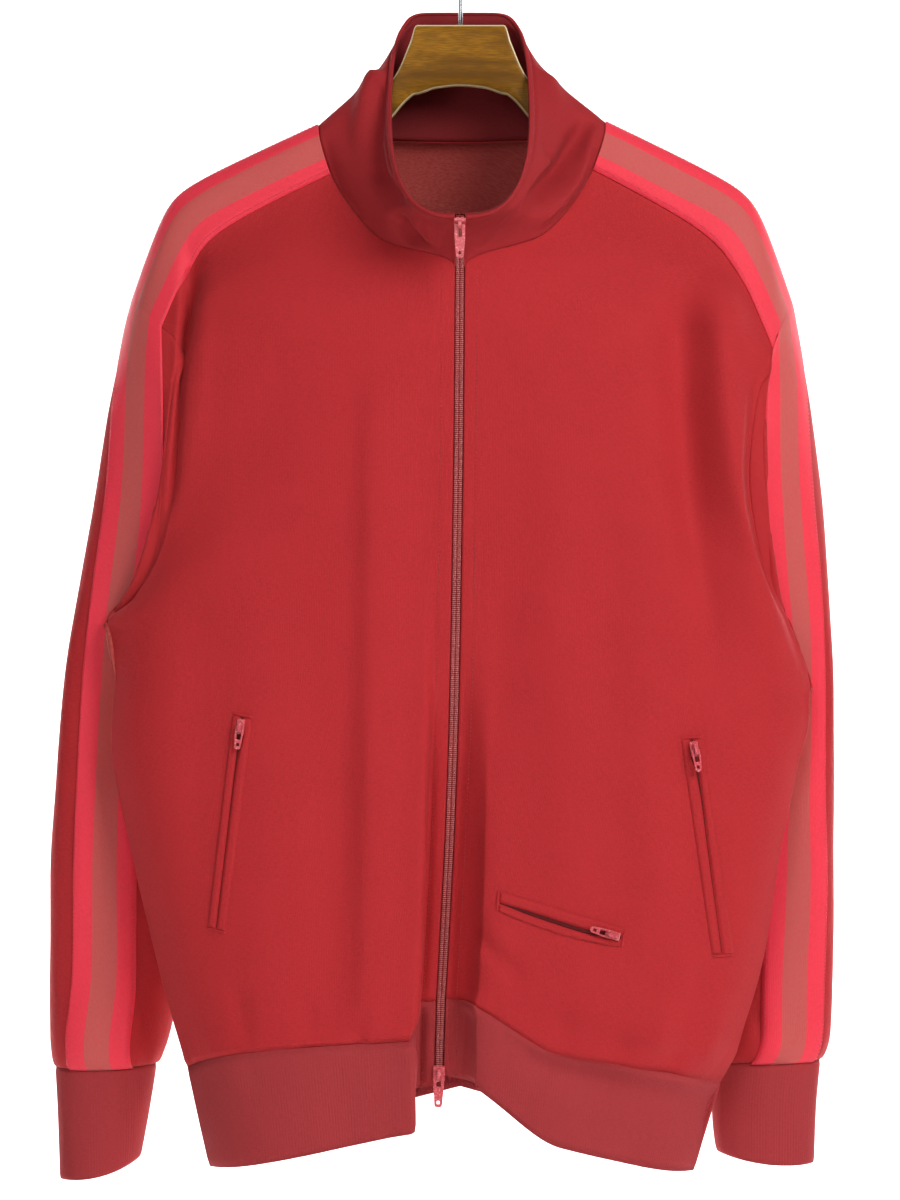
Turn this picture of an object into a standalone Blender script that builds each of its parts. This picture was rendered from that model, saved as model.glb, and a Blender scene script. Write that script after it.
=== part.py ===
"""A zip-front track jacket on a wooden hanger: one object for each piece that is cut, moulded or turned.

Frame: metres, +Z up. The front faces -Y and +X is to the right as seen from the front. The origin is the
underside of the hook's bend, where the hanger hangs on a rail. The tables are in millimetres.

The cloth is one smooth skin, worked out from rows of a few named points and cut along its seams. Each piece
is a wall inward from that skin, and both sides of a seam share one normal, so that they meet like a mitre.
"""

import math

import bmesh
import bpy
import numpy as np
from mathutils import Matrix, Vector

MM = 0.001

# ---------------------------------------------------------------- driving sizes, mm
CLOTH = 1.2  # fronts, back and sleeves: double-knit tricot
RIB = 2.0  # waistband and cuffs: folded rib knit
COLLAR = 2.4  # two layers
TAPE = 1.0  # the braid along shoulder and sleeve
TAPE_INSET = 1.2  # from the neck seam to the braid's end, clear of the collar
SEAM = 0.3  # between two pieces
UNDERARM_GAP = 6.0  # where sleeve, front and back meet under the arm, lost in the fold there
ON_CLOTH = 0.4  # between the cloth and what lies on it
ZIP_EDGE = 3.4  # from the zip's centre line to the edge of each front
TAPE_ROUND, TAPE_WIDTH = 15.0, 44.0  # how far the braid goes round the top, and its whole width

# Rows of the fronts and the back, from the hem seam up to the shoulder seam
HEM, UNDERARM, NECK, BRAID_EDGE, HANGER_EDGE, SHOULDER = 0, 5, 9, 11, 12, 13
ROW_STEPS = (2, 2, 2, 2, 2, 2, 2, 2, 2, 3, 3, 1, 2)  # grid rows between two table rows
FRONT_COLUMNS = np.array([0, 0.022, 0.05, 0.08, 0.12, 0.2, 0.32, 0.44, 0.54, 0.66, 0.79, 0.91, 1])
NECK_COLUMNS = 5  # grid columns of the back between centre back and the shoulder seam
NECK_SHARE = 0.4  # share of the back's half width that they take

# Each row: the edge at the zip or neckline, the corner that the row bends towards, the side or armhole edge,
# and for a sharper bend its roundness.
# The edges at the zip are where the cloth would hang if the zip did not pull it back and up.
FRONT_LEFT = (
    # centre edge          corner                 side edge
    ((-16.4, -72, -757), (-174, -92, -763), (-182.5, -22, -780)),  # hem seam
    ((-13.7, -71, -697), (-193, -88, -705), (-200.5, -26, -715)),
    ((-10.4, -70, -625), (-211, -84, -632), (-218.5, -30, -636)),
    ((-8.0, -68, -551), (-222, -80, -560), (-231.5, -34, -565)),
    ((-7.3, -67.5, -518), (-222, -79, -521), (-230, -33, -523)),
    ((-6.6, -67, -485), (-205, -80, -485), (-238.5, -25, -488)),  # underarm
    ((-5.7, -67.5, -425), (-175, -82, -442), (-216, -31, -467)),
    ((-4.8, -66, -365), (-112, -76, -392), (-196, -40, -428)),
    ((-4.3, -63, -307), (-112, -70, -328), (-186.5, -44, -365)),
    ((-3.9, -60, -250), (-124, -60, -267), (-184.8, -41, -307)),  # neck seam at the zip
    ((-52, -46, -231), (-166, -45, -245), (-190.5, -34, -295)),
    ((-86.5, -15, -185), (-176, -17, -226), (-198.5, -28, -288), 0.35),  # front edge of the braid
    ((-94.5, -8.5, -158), (-193, -8.5, -204), (-214.5, -12, -273), 0.25),  # hanger's front edge
    ((-95, 0, -151), (-195.5, 0, -196.6), (-219.5, 2, -268), 0.2),  # shoulder seam
)
FRONT_RIGHT = (
    ((-9.6, -72, -755), (158, -90, -783), (173.5, -22, -790)),
    ((-6.9, -71, -697), (192, -86, -705), (200, -27, -712)),
    ((-3.6, -70, -625), (205, -84, -636), (212, -30, -640)),
    ((-1.2, -68, -551), (213, -81, -572), (224, -30, -578)),
    ((-0.5, -67.5, -518), (219, -80, -545), (231, -29, -552)),
    ((0.2, -67, -485), (208, -80, -514), (235.5, -26, -530)),
    ((1.1, -67.5, -425), (178, -82, -456), (219, -35, -488)),
    ((2.0, -66, -365), (115, -78, -400), (199, -44, -443)),
    ((2.5, -63, -307), (112, -72, -334), (190.5, -48, -385)),
    ((2.9, -60, -250), (118, -62, -268), (198, -44, -329)),
    ((55.5, -46, -227), (168, -45, -246), (205.5, -42, -317)),
    ((88, -15, -182), (178, -17, -227), (207, -36, -303), 0.35),
    ((96.5, -8.5, -156), (195, -8.5, -204), (217, -12, -277), 0.25),
    ((97, 0, -149), (197.5, 0, -196.6), (222, 2, -271), 0.2),
)
# Back: centre back, then for each half the corner and the armhole edge; below the underarm the fronts' side
# edges are used. The rows above lie between the last of these and the shoulder seam, which is the fronts' own.
BACK = (
    # centre back     left corner         left armhole        right corner       right armhole
    ((0, 55, -742), (-165, 50, -768), None, (165, 50, -774), None),
    ((0, 57, -695), (-165, 42, -710), None, (165, 42, -708), None),
    ((0, 57, -630), (-155, 36, -635), None, (155, 36, -638), None),
    ((0, 56, -560), (-150, 30, -563), None, (150, 30, -572), None),
    ((0, 55, -525), (-148, 30, -523), None, (148, 30, -542), None),
    ((0, 54, -490), (-150, 30, -489), None, (150, 30, -515), None),
    ((0, 53, -430), (-150, 42, -450), (-221, -4, -464), (150, 42, -465), (222, -6, -492)),
    ((0, 52, -370), (-130, 56, -400), (-202, 24, -425), (130, 56, -410), (204, 22, -445)),
    ((0, 51, -310), (-125, 60, -338), (-192, 42, -363), (125, 60, -350), (194, 42, -385)),
    ((0, 49, -262), (-125, 56, -274), (-190, 40, -307), (125, 56, -285), (196, 40, -327)),
    ((0, 46, -222), (-150, 45, -240), (-193.5, 33, -292), (150, 45, -248), (200, 33, -312)),
)
NECK_CENTRE_BACK = (0, 40, -158)
NECK_CORNER_BACK = (80, 42, -158)  # the back neckline bends towards it, on both sides
BACK_SHOULDER = ((0.55, 7, 4), (0.86, 7.5, 1))  # how near the seam, then how far back and up from the straight

# How far the zip pulls the cloth beside it back and up, in the rows from the hem seam up
ZIP_PULL = ((25, 23), (21, 13), (15, 5), (7, 1), (3.5, 0), (1, 0), (0, 0), (0, 0), (0, 0), (0, 0))
FOLD_LEFT = (12.0, 22.0)  # the cloth folds over the zip between these distances from it
DIP_RIGHT = (8.0, 36.0)  # on the other side it dips softly over these
LIFT_RIGHT = (15.0, 80.0)

# Waistband: its lower edge as one more row for each front, and the back's corners and centre
BAND_LEFT = ((-18, -70, -815), (-158, -90, -846), (-167, -28, -845))
BAND_RIGHT = ((-11, -70, -808), (146, -90, -852), (155.5, -28, -848))
BAND_BACK = ((0, 52, -800), (-150, 48, -836), (150, 48, -840))
BAND_PULL = (26, 25)
BAND_STEPS = 2

# Sleeves: four lines down each, at its outer edge, its front, its inner edge and its back
SLEEVE_LEFT = (
    # outer            front                inner                back                 braid from outer line
    ((-233, 4, -328), (-195, -42, -358), (-239.9, -20.2, -498.5), (-204, 48, -405), 5),
    ((-244, 7, -392), (-200, -40, -428), (-239.9, -21.5, -488.7), (-210, 52, -455), 11),
    ((-255, 8, -455), (-240, -20, -486), (-239.9, -3.2, -489), (-214, 56, -495), 16),
    ((-265, 6, -520), (-232.1, -10, -534), (-203.8, 19.7, -548.6), (-212, 57, -550), 21),
    ((-270.5, 8, -590), (-230, -8, -602), (-178.1, 37.6, -631.9), (-212, 55, -612), 27),
    ((-275.5, 13, -655), (-229, -4, -663), (-178, 38, -687), (-220, 53, -669), 27),
    ((-276.5, 18, -718), (-233, 0, -723), (-190, 34, -735), (-229, 50, -726), 26),
    ((-277, 22, -764), (-238, -2, -767), (-198, 28, -769), (-238, 52, -768), 24),
    ((-273.5, 24, -784), (-239, 3, -784), (-205, 28, -782), (-239, 48, -784), 21),
)
SLEEVE_RIGHT = (
    ((234, 4, -335), (200, -45.4, -364), (242.25, -34.17, -539.74), (206, 48, -415), 8),
    ((243, 7, -404), (204.03, -43.02, -451.98), (238.27, -22.01, -530.83), (211, 52, -475), 12),
    ((247.7, 8, -475), (241.69, -20.36, -526.14), (234.71, -8.43, -525.13), (209, 56, -525), 14),
    ((249.7, 6, -540), (226.99, -10.97, -571.96), (204.01, 19.57, -590.28), (204, 57, -588), 16),
    ((250.5, 8, -595), (212.0, -9.0, -622.0), (172.02, 35.99, -645.77), (201, 55, -634), 16),
    ((251, 11, -660), (205, -4, -673), (155, 39, -700), (203, 53, -677), 14),
    ((251, 15, -718), (206, 0, -725), (160, 35, -737), (207, 50, -727), 14),
    ((250, 20, -760), (208, -2, -763), (166, 30, -765), (209, 52, -765), 16),
    ((243, 22, -779), (207, 3, -780), (172, 28, -781), (207, 48, -780), 14),
)
# Under the arm the first ring follows the armhole: over how many columns each way, and how far out, back and up
SLEEVE_UNDERARM = {-1: (11.2, (-4.7, -1.7, -4.1)), 1: (10.2, (-2.6, 1.4, -4.7))}
SLEEVE_STEPS = (2, 2, 2, 2, 2, 1, 1, 1, 1)
CUFF_LEFT = (
    ((-271.5, 24, -822), (-240, 4, -818), (-210, 29, -813), (-240, 49, -818)),
    ((-270.5, 25, -859), (-241, 4, -856), (-216, 30, -845), (-242, 50, -856)),
)
CUFF_RIGHT = (
    ((240, 24, -815), (205, 4, -815), (170, 28, -812), (205, 49, -815)),
    ((239, 25, -848), (206, 4, -848), (173, 29, -841), (206, 50, -848)),
)

# Collar: its top edge is a tilted loop, from the back to the front at the zip
RIM_BACK, RIM_FRONT = (0, 35, -71), (-0.6, -106, -221)
RIM_HALF_WIDTH = 46.0
RIM_AT_ROWS = (math.pi, 2.5, 1.7, 1.12, 1.0)  # place on the loop over each row of the neckline, rad
COLLAR_STEPS = 4

# Hanger: for each half, distance out, top, height and thickness; past the neck its top follows the cloth
HANGER_NECK = (
    # x    top   height thick
    (0, -84, 41, 12),
    (16, -84, 42.5, 12),
    (29, -84, 46.5, 12),
    (34, -96, 37, 12),
    (44, -118, 26, 12),
    (62, -134, 25, 12),
    (80, -149, 25, 12),
    (92, -154.4, 25, 12),
)
HANGER_ARM = ((104, 25, 11.5), (130, 24, 11.5), (160, 22, 11.5), (178, 19, 10), (187, 12, 7))
HANGER_Y = 0.0
HANGER_UNDER_CLOTH = 2.8  # from the skin down to the wood, cloth included
HOOK_WIRE, HOOK_BEND = 1.5, 17.0  # radii

# Zip parts: length, width
PULL_MAIN = (21.0, 7.0)
PULL_POCKET = (14.0, 5.4)
PLATE = 1.2  # thickness of a pull tab
ZIP_TAPE = 0.8  # thickness
ZIP_TAPE_REACH = (0, 3.2, 6.5)  # along the cloth from its edge
ZIP_BEHIND = 0.6  # behind the fronts, and six times that behind the collar
COIL_HALF, COIL_OUT, COIL_IN = 2.7, 0.1, 1.1

# Welt pockets: x, z of the four corners, from the slider's end round, and which front they are on
POCKETS = {
    "side_left": (((-149.5, -542), (-136, -544.7), (-154.6, -688.8), (-166.5, -685.6)), "front_left"),
    "side_right": (((143.9, -558), (158.3, -558), (180.3, -704.4), (165.1, -704.2)), "front_right"),
    "small": (((106.6, -697), (109.1, -684.6), (23.6, -658.6), (22.3, -672.3)), "front_right"),
}
POCKET_END, SLOT_WIDE, SLOT_NARROW, SLIDER_ROOM = 2.4, 6.6, {"side_left": 1.8, "side_right": 1.8, "small": 4.6}, 13.0
WELT, POCKET_ZIP = 1.0, 0.6

PAINT = {
    # colour, roughness, metallic
    "tricot": ((0.43, 0.024, 0.028), 0.7, 0.0),
    "rib": ((0.33, 0.036, 0.04), 0.85, 0.0),
    "braid": ((0.85, 0.06, 0.09), 0.6, 0.0),
    "zip cloth": ((0.30, 0.02, 0.022), 0.85, 0.0),
    "coil": ((0.20, 0.035, 0.035), 0.5, 0.0),
    "painted metal": ((0.72, 0.10, 0.13), 0.35, 0.0),
    "wood": ((0.30, 0.16, 0.045), 0.5, 0.0),
    "chrome": ((0.75, 0.75, 0.76), 0.15, 1.0),
}


# ---------------------------------------------------------------- curves and rows
def through(knots, steps):
    """A smooth row of points through the knots, steps[i] of them between knots i and i + 1.

    Each coordinate is a cubic from knot to knot whose slope at a knot is the harmonic mean of the rises on
    its two sides, and level where they change sign, so that it never swings past a knot.
    """
    knots = np.asarray(knots, float)
    rise = np.diff(knots, axis=0)
    before, after = rise[:-1], rise[1:]
    same = before * after > 0
    slope = np.zeros_like(knots)
    slope[1:-1] = np.where(same, 2 * before * after / np.where(same, before + after, 1), 0)
    for end, near, next_on in ((0, rise[0], rise[min(1, len(rise) - 1)]), (-1, rise[-1], rise[-2 % len(rise)])):
        start = (3 * near - next_on) / 2
        start = np.where(start * near <= 0, 0, start)
        slope[end] = np.clip(start, -3 * abs(near), 3 * abs(near))
    rows = []
    for i, count in enumerate(steps):
        t = (np.arange(count) / count).reshape((-1,) + (1,) * (knots.ndim - 1))
        rows.append(
            (1 + 2 * t) * (1 - t) ** 2 * knots[i]
            + t * (1 - t) ** 2 * slope[i]
            + t * t * (3 - 2 * t) * knots[i + 1]
            - t * t * (1 - t) * slope[i + 1]
        )
    return np.concatenate(rows + [knots[-1:]])


def bend(start, corner, end, u, roundness=0.75):
    """Points of a curve from start to end by way of the corner: a hyperbola, sharper as roundness falls."""
    u = np.asarray(u, float)[:, None]
    ramp = lambda x: (x + np.sqrt(x * x + roundness**2)) / 2
    share = lambda x: (ramp(2 * x - 1) - ramp(-1.0)) / (ramp(1.0) - ramp(-1.0))
    start, corner, end = (np.array(p, float) for p in (start, corner, end))
    return corner + (start - corner) * share(1 - u) + (end - corner) * share(u)


def ease(low, high, x):
    """0 below low, 1 above high, with a soft S between."""
    t = np.clip((x - low) / (high - low), 0, 1)
    return t * t * (3 - 2 * t)


def unit(v):
    return v / np.maximum(np.linalg.norm(v, axis=-1, keepdims=True), 1e-9)


# ---------------------------------------------------------------- the skin of the cloth
def pull_to_zip(row, back, up, side):
    """The row moved by the zip: a sharp fold beside it on the left, a soft dip on the right."""
    away = abs(row[:, 0] - row[0, 0]) + ZIP_EDGE
    if side < 0:
        dip = lift = 1 - ease(*FOLD_LEFT, away)
    else:
        dip, lift = 1 - ease(*DIP_RIGHT, away), 1 - ease(*LIFT_RIGHT, away)
    return row + np.stack([0 * away, back * dip, up * lift], axis=1)


def bend_row(row):
    """One table row of a front as grid points."""
    return bend(*row[:3], FRONT_COLUMNS, *row[3:])


def front_grid(table, side):
    """One front, rows from the hem seam to the shoulder seam, columns from the zip to the side."""
    rows = [bend_row(row) for row in table]
    for i, (back, up) in enumerate(ZIP_PULL):
        rows[i] = pull_to_zip(rows[i], back, up, side)
    return through(rows, ROW_STEPS)


def back_half(side, fronts, corner_at, armhole_at, side_seam):
    """Half of the back, columns from centre back to the side; side is -1 or 1."""
    front = fronts[side]
    shares = np.concatenate([np.linspace(0, NECK_SHARE, NECK_COLUMNS, endpoint=False), NECK_SHARE + (1 - NECK_SHARE) * FRONT_COLUMNS])
    rows = [bend(row[0], row[corner_at], row[armhole_at] or front[i][2], shares) for i, row in enumerate(BACK)]
    corner = (side * NECK_CORNER_BACK[0], *NECK_CORNER_BACK[1:])
    neckline = bend(NECK_CENTRE_BACK, corner, front[SHOULDER][0], np.linspace(0, 1, NECK_COLUMNS, endpoint=False))
    seam = np.concatenate([neckline, bend_row(front[SHOULDER])])
    highest = rows[-1]
    for near, behind, up in BACK_SHOULDER:
        rows.append(highest + (seam - highest) * near + np.array([0, behind, up]))
    rows.append(seam)
    grid = through(rows, ROW_STEPS)
    grid[: len(side_seam), -1] = side_seam
    return grid


def sleeve_ring(outer, front, inner, back, braid_at, edge_shares, even):
    """One ring of a sleeve, as a closed curve through its four points.

    The points are spaced by arc length: the braid's width first, from braid_at past the outer point, then
    evenly to the inner point and round the back, or as on the armhole where even is 0.
    """
    outer, front, inner, back = (np.array(p, float) for p in (outer, front, inner, back))
    angle = np.linspace(0, 2 * math.pi, 361)[:, None]
    middle = (outer + inner) / 2
    loop = middle + (outer - inner) / 2 * np.cos(angle) + (front - back) / 2 * np.sin(angle)
    loop += ((front + back) / 2 - middle) * np.sin(angle) ** 2
    arc = np.concatenate([[0], np.cumsum(np.linalg.norm(np.diff(loop, axis=0), axis=1))])
    half, whole = arc[180], arc[-1]
    shares_front, shares_back = edge_shares
    spread = lambda shares: (1 - even) * shares + even * np.linspace(0, 1, len(shares))
    braid = braid_at + np.concatenate([np.linspace(0, TAPE_ROUND, ROW_STEPS[-1] + 1), np.linspace(TAPE_ROUND, TAPE_WIDTH, ROW_STEPS[-2] + 1)[1:]])
    to_inner = braid[-1] + (half - braid[-1]) * spread(shares_front)
    to_outer = half + (whole + braid_at - half) * spread(shares_back)
    at = np.concatenate([braid, to_inner[1:], to_outer[1:-1]]) % whole
    return np.stack([np.interp(at, arc, loop[:, i]) for i in range(3)], axis=1)


def edge_shares(armhole, braid_count):
    """How the armhole's points share its length, from the braid to the underarm and on round the back."""
    length = np.concatenate([[0], np.cumsum(np.linalg.norm(np.diff(armhole, axis=0), axis=1))])
    low = (len(armhole) - 1) // 2
    front, back = length[braid_count : low + 1], length[low:]
    return (front - front[0]) / (front[-1] - front[0]), (back - back[0]) / (back[-1] - back[0])


def sleeve_grid(table, front_edge, back_edge, side):
    """One sleeve, rows from the armhole to the cuff seam, columns round it from the outer line by the front."""
    armhole = np.concatenate([front_edge[::-1], back_edge[1:]])
    shares = edge_shares(armhole, ROW_STEPS[-1] + ROW_STEPS[-2])
    rings = [armhole[:-1]]
    low = len(front_edge) - 1
    columns, offset = SLEEVE_UNDERARM[side]
    near = 1 - ease(0, columns, abs(np.arange(len(armhole) - 1) - low))
    offset = np.array(offset) * (-side, 1, 1)
    for i, (*points, braid_at) in enumerate(table):
        ring = sleeve_ring(*points, braid_at, shares, min(1, (i + 1) / 3))
        if i == 0:
            ring += (armhole[:-1] + offset - ring) * near[:, None]
        rings.append(ring)
    return through(rings, SLEEVE_STEPS), shares


def rim_loop(turn, side):
    """A point of the collar's top edge: turn is 0 at centre back and pi at the zip."""
    turn = np.asarray(turn, float)
    share = ((1 - np.cos(turn)) / 2)[:, None]
    middle = np.array(RIM_BACK) * (1 - share) + np.array(RIM_FRONT) * share
    square = 0.25 + 0.38 * ease(1.0, 2.6, turn)
    wide = RIM_HALF_WIDTH * np.maximum(np.sin(turn), 1e-6) ** square
    wide = np.maximum(wide, ZIP_EDGE * ease(2, math.pi, turn))
    return middle + np.stack([side * wide, 0 * wide, 0 * wide], axis=1)


def collar_grid(necklines, back_top):
    """The collar, rows from the neck seam to the rim, columns from the left front round the back."""
    seam, rim = [], []
    turns = through(np.array(RIM_AT_ROWS)[:, None], ROW_STEPS[NECK:])[:, 0]
    for side in (-1, 1):
        seam.append(necklines[side])
        rim.append(rim_loop(turns, side))
    behind = np.linspace(turns[-1], 0, NECK_COLUMNS + 1)[1:]
    rim_behind = [rim_loop(behind, -1), rim_loop(behind[:-1], 1)[::-1]]
    seam = np.concatenate([seam[0], back_top, seam[1][::-1]])
    rim = np.concatenate([rim[0], *rim_behind, rim[1][::-1]])
    turn = np.concatenate([turns, behind, behind[:-1][::-1], turns[::-1]])
    forward = ease(1.6, math.pi, turn)[:, None]
    rear = (1 - ease(0.2, 1.2, turn))[:, None]
    corner = (seam + rim) / 2 + forward * np.array((0, 18, 9.5)) + rear * np.array((0, 5, 0))
    v = np.linspace(0, 1, COLLAR_STEPS + 1)[:, None, None]
    return (1 - v) ** 2 * seam + 2 * v * (1 - v) * corner + v**2 * rim


def grids():
    """All the cloth of the skin: name -> (grid, whether it closes round, whether its faces need turning)."""
    tables = {-1: FRONT_LEFT, 1: FRONT_RIGHT}
    left, right = front_grid(FRONT_LEFT, -1), front_grid(FRONT_RIGHT, 1)
    low = sum(ROW_STEPS[:UNDERARM])
    half_left = back_half(-1, tables, 1, 2, left[: low + 1, -1])
    half_right = back_half(1, tables, 3, 4, right[: low + 1, -1])
    back = np.concatenate([half_left[:, ::-1], half_right[:, 1:]], axis=1)
    found = {
        "front_left": (left, False, True),
        "front_right": (right, False, False),
        "back": (back, False, True),
    }
    for name, table, cuff, front, half, turned in (
        ("left", SLEEVE_LEFT, CUFF_LEFT, left, half_left, True),
        ("right", SLEEVE_RIGHT, CUFF_RIGHT, right, half_right, False),
    ):
        sleeve, shares = sleeve_grid(table, front[low:, -1], half[low:, -1], -1 if name == "left" else 1)
        found["sleeve_" + name] = (sleeve, True, turned)
        braid_at = table[-1][-1]
        rings = [sleeve[-1]] + [sleeve_ring(*ring, braid_at, shares, 1) for ring in cuff]
        found["cuff_" + name] = (through(rings, (2, 2)), True, turned)
    neck = sum(ROW_STEPS[:NECK])
    necklines = {-1: left[neck:, 0], 1: right[neck:, 0]}
    middle = back.shape[1] // 2
    back_top = back[-1, middle - NECK_COLUMNS + 1 : middle + NECK_COLUMNS]
    found["collar"] = (collar_grid(necklines, back_top), False, True)
    found["waistband"] = (band_grid(left[0], right[0], back[0]), False, False)
    return found


def band_grid(left, right, back):
    """The waistband, rows from the hem seam down, columns from the left front round the back."""
    shares = np.concatenate([np.linspace(0, NECK_SHARE, NECK_COLUMNS, endpoint=False), NECK_SHARE + (1 - NECK_SHARE) * FRONT_COLUMNS])
    low_left = pull_to_zip(bend(*BAND_LEFT, FRONT_COLUMNS), *BAND_PULL, -1)
    low_right = pull_to_zip(bend(*BAND_RIGHT, FRONT_COLUMNS), *BAND_PULL, 1)
    centre, left_corner, right_corner = BAND_BACK
    back_left = bend(centre, left_corner, BAND_LEFT[2], shares)[::-1]
    back_right = bend(centre, right_corner, BAND_RIGHT[2], shares)
    top = np.concatenate([left, back[1:-1], right[::-1]])
    low = np.concatenate([low_left, back_left[1:], back_right[1:-1], low_right[::-1]])
    return through([top, low], [BAND_STEPS])


def triangles(grid, closed, turned, keep=None):
    """Index triples of a grid's faces, each cell split along its shorter diagonal; keep masks the cells."""
    rows, columns = grid.shape[:2]
    index = np.arange(rows * columns).reshape(rows, columns)
    if closed:
        index = np.concatenate([index, index[:, :1]], axis=1)
    a, b, c, d = index[:-1, :-1], index[:-1, 1:], index[1:, 1:], index[1:, :-1]
    points = grid.reshape(-1, 3)
    shorter = np.linalg.norm(points[a] - points[c], axis=-1) <= np.linalg.norm(points[b] - points[d], axis=-1)
    one = np.stack([np.stack([a, b, c], -1), np.stack([a, c, d], -1)], axis=2)
    other = np.stack([np.stack([a, b, d], -1), np.stack([b, c, d], -1)], axis=2)
    faces = np.where(shorter[..., None, None], one, other)
    faces = faces[keep] if keep is not None else faces
    faces = faces.reshape(-1, 3)
    return faces[:, ::-1] if turned else faces


def shared_normals(found):
    """The outward normal at each grid point, shared by all pieces that meet there.

    It is the mean over the faces, by their corners' angles. Under the arm, where sleeve and side face each
    other, that mean fades, and the direction away from the armhole's middle takes over.
    """
    points, faces, count = [], [], 0
    for grid, closed, turned in found.values():
        points.append(grid.reshape(-1, 3))
        faces.append(triangles(grid, closed, turned) + count)
        count += len(points[-1])
    points, faces = np.concatenate(points), np.concatenate(faces)
    _, place = np.unique(np.round(points, 2), axis=0, return_inverse=True)
    place = place.reshape(-1)
    corners = points[faces]
    across = unit(np.cross(corners[:, 1] - corners[:, 0], corners[:, 2] - corners[:, 0]))
    total, whole = np.zeros((place.max() + 1, 3)), np.zeros(place.max() + 1)
    for corner in range(3):
        here, one, other = (corners[:, (corner + k) % 3] for k in range(3))
        angle = np.arccos(np.clip((unit(one - here) * unit(other - here)).sum(axis=1), -1, 1))
        np.add.at(total, place[faces[:, corner]], across * angle[:, None])
        np.add.at(whole, place[faces[:, corner]], angle)
    mean = (total / whole[:, None])[place]
    start = 0
    for name, (grid, _, _) in found.items():
        if name.startswith("sleeve"):
            armhole = slice(start, start + grid.shape[1])
            faint = 1 - np.linalg.norm(mean[armhole], axis=1, keepdims=True)
            lean = unit(grid[0] - grid[0].mean(axis=0)) * faint
            for spot, more in zip(place[armhole], lean):
                mean[place == spot] += more
        start += grid.shape[0] * grid.shape[1]
    normal = unit(mean)
    out, start = {}, 0
    for name, (grid, _, _) in found.items():
        size = grid.shape[0] * grid.shape[1]
        out[name] = normal[start : start + size].reshape(grid.shape)
        start += size
    return out


# ---------------------------------------------------------------- meshes
def add_object(name, points, faces, paint):
    """A mesh object of points in mm and index faces, with its material."""
    mesh = bpy.data.meshes.new(name)
    mesh.from_pydata((np.asarray(points) * MM).tolist(), [], [tuple(map(int, f)) for f in faces])
    mesh.validate()
    mesh.materials.append(material(paint))
    made = bpy.data.objects.new(name, mesh)
    parts.objects.link(made)
    return made


def material(name):
    """The named Principled material, made once."""
    if name in bpy.data.materials:
        return bpy.data.materials[name]
    colour, roughness, metallic = PAINT[name]
    made = bpy.data.materials.new(name)
    made.use_nodes = True
    shader = made.node_tree.nodes["Principled BSDF"]
    shader.inputs["Base Color"].default_value = (*colour, 1)
    shader.inputs["Roughness"].default_value = roughness
    shader.inputs["Metallic"].default_value = metallic
    made.diffuse_color = (*colour, 1)
    return made


def wall(name, outer, inner, paint, closed=False, turned=False, keep=None):
    """A closed wall between two like grids, with rims along every open edge."""
    faces = triangles(outer, closed, turned, keep)
    count = outer.shape[0] * outer.shape[1]
    ends = np.concatenate([faces[:, [0, 1]], faces[:, [1, 2]], faces[:, [2, 0]]])
    there = {tuple(e) for e in ends.tolist()}
    open_edges = [e for e in there if (e[1], e[0]) not in there]
    rim = [t for a, b in sorted(open_edges) for t in ((b, a, a + count), (b, a + count, b + count))]
    faces = np.concatenate([faces, faces[:, ::-1] + count, np.array(rim)])
    points = np.concatenate([outer.reshape(-1, 3), inner.reshape(-1, 3)])
    used, faces = np.unique(faces, return_inverse=True)
    return add_object(name, points[used], faces.reshape(-1, 3), paint)


def drawn_in(grid, closed, rows=True, columns=True):
    """The grid with its open edges drawn in by half a seam's gap."""
    moved = grid.copy()
    if rows:
        moved[0] += unit(grid[1] - grid[0]) * SEAM / 2
        moved[-1] += unit(grid[-2] - grid[-1]) * SEAM / 2
    if columns and not closed:
        moved[:, 0] += unit(grid[:, 1] - grid[:, 0]) * SEAM / 2
        moved[:, -1] += unit(grid[:, -2] - grid[:, -1]) * SEAM / 2
    return moved


def underarm_gap(grid):
    """How much further each point of a sleeve's armhole edge is drawn in: most at its lowest point."""
    low = int(np.argmin(grid[0, :, 2]))
    return UNDERARM_GAP * np.clip(1 - abs(np.arange(grid.shape[1]) - low) / 5, 0, 1)[:, None]


def cloth_walls(found, normals):
    thickness = {"collar": COLLAR, "waistband": RIB, "cuff_left": RIB, "cuff_right": RIB}
    for name, (grid, closed, turned) in found.items():
        inner = grid - normals[name] * thickness.get(name, CLOTH)
        paint = "rib" if thickness.get(name) == RIB else "tricot"
        outer, inner = drawn_in(grid, closed), drawn_in(inner, closed)
        if name.startswith("sleeve"):
            for edge in (outer, inner):
                edge[0] += unit(edge[1] - edge[0]) * underarm_gap(grid)
        wall(name, outer, inner, paint, closed, turned)


def braid(name, found, normals, side):
    """The braid: over the front's top rows from neck to armhole, then down the sleeve's first columns."""
    front, sleeve = found["front_" + name][0], found["sleeve_" + name][0]
    wide = ROW_STEPS[-1] + ROW_STEPS[-2] + 1
    shoulder = front[: -wide - 1 : -1].transpose(1, 0, 2)
    arm = sleeve[1:, :wide]
    out_shoulder = normals["front_" + name][: -wide - 1 : -1].transpose(1, 0, 2)
    out_arm = normals["sleeve_" + name][1:, :wide]
    grid = np.concatenate([shoulder, arm])
    out = np.concatenate([out_shoulder, out_arm])
    for end, near, inset in ((0, 1, TAPE_INSET), (-1, -2, SEAM)):
        grid[end] += unit(grid[near] - grid[end]) * inset
    low, high = grid + out * ON_CLOTH, grid + out * (ON_CLOTH + TAPE)
    wall("tape_" + name, high, low, "braid", turned=side < 0)


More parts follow.
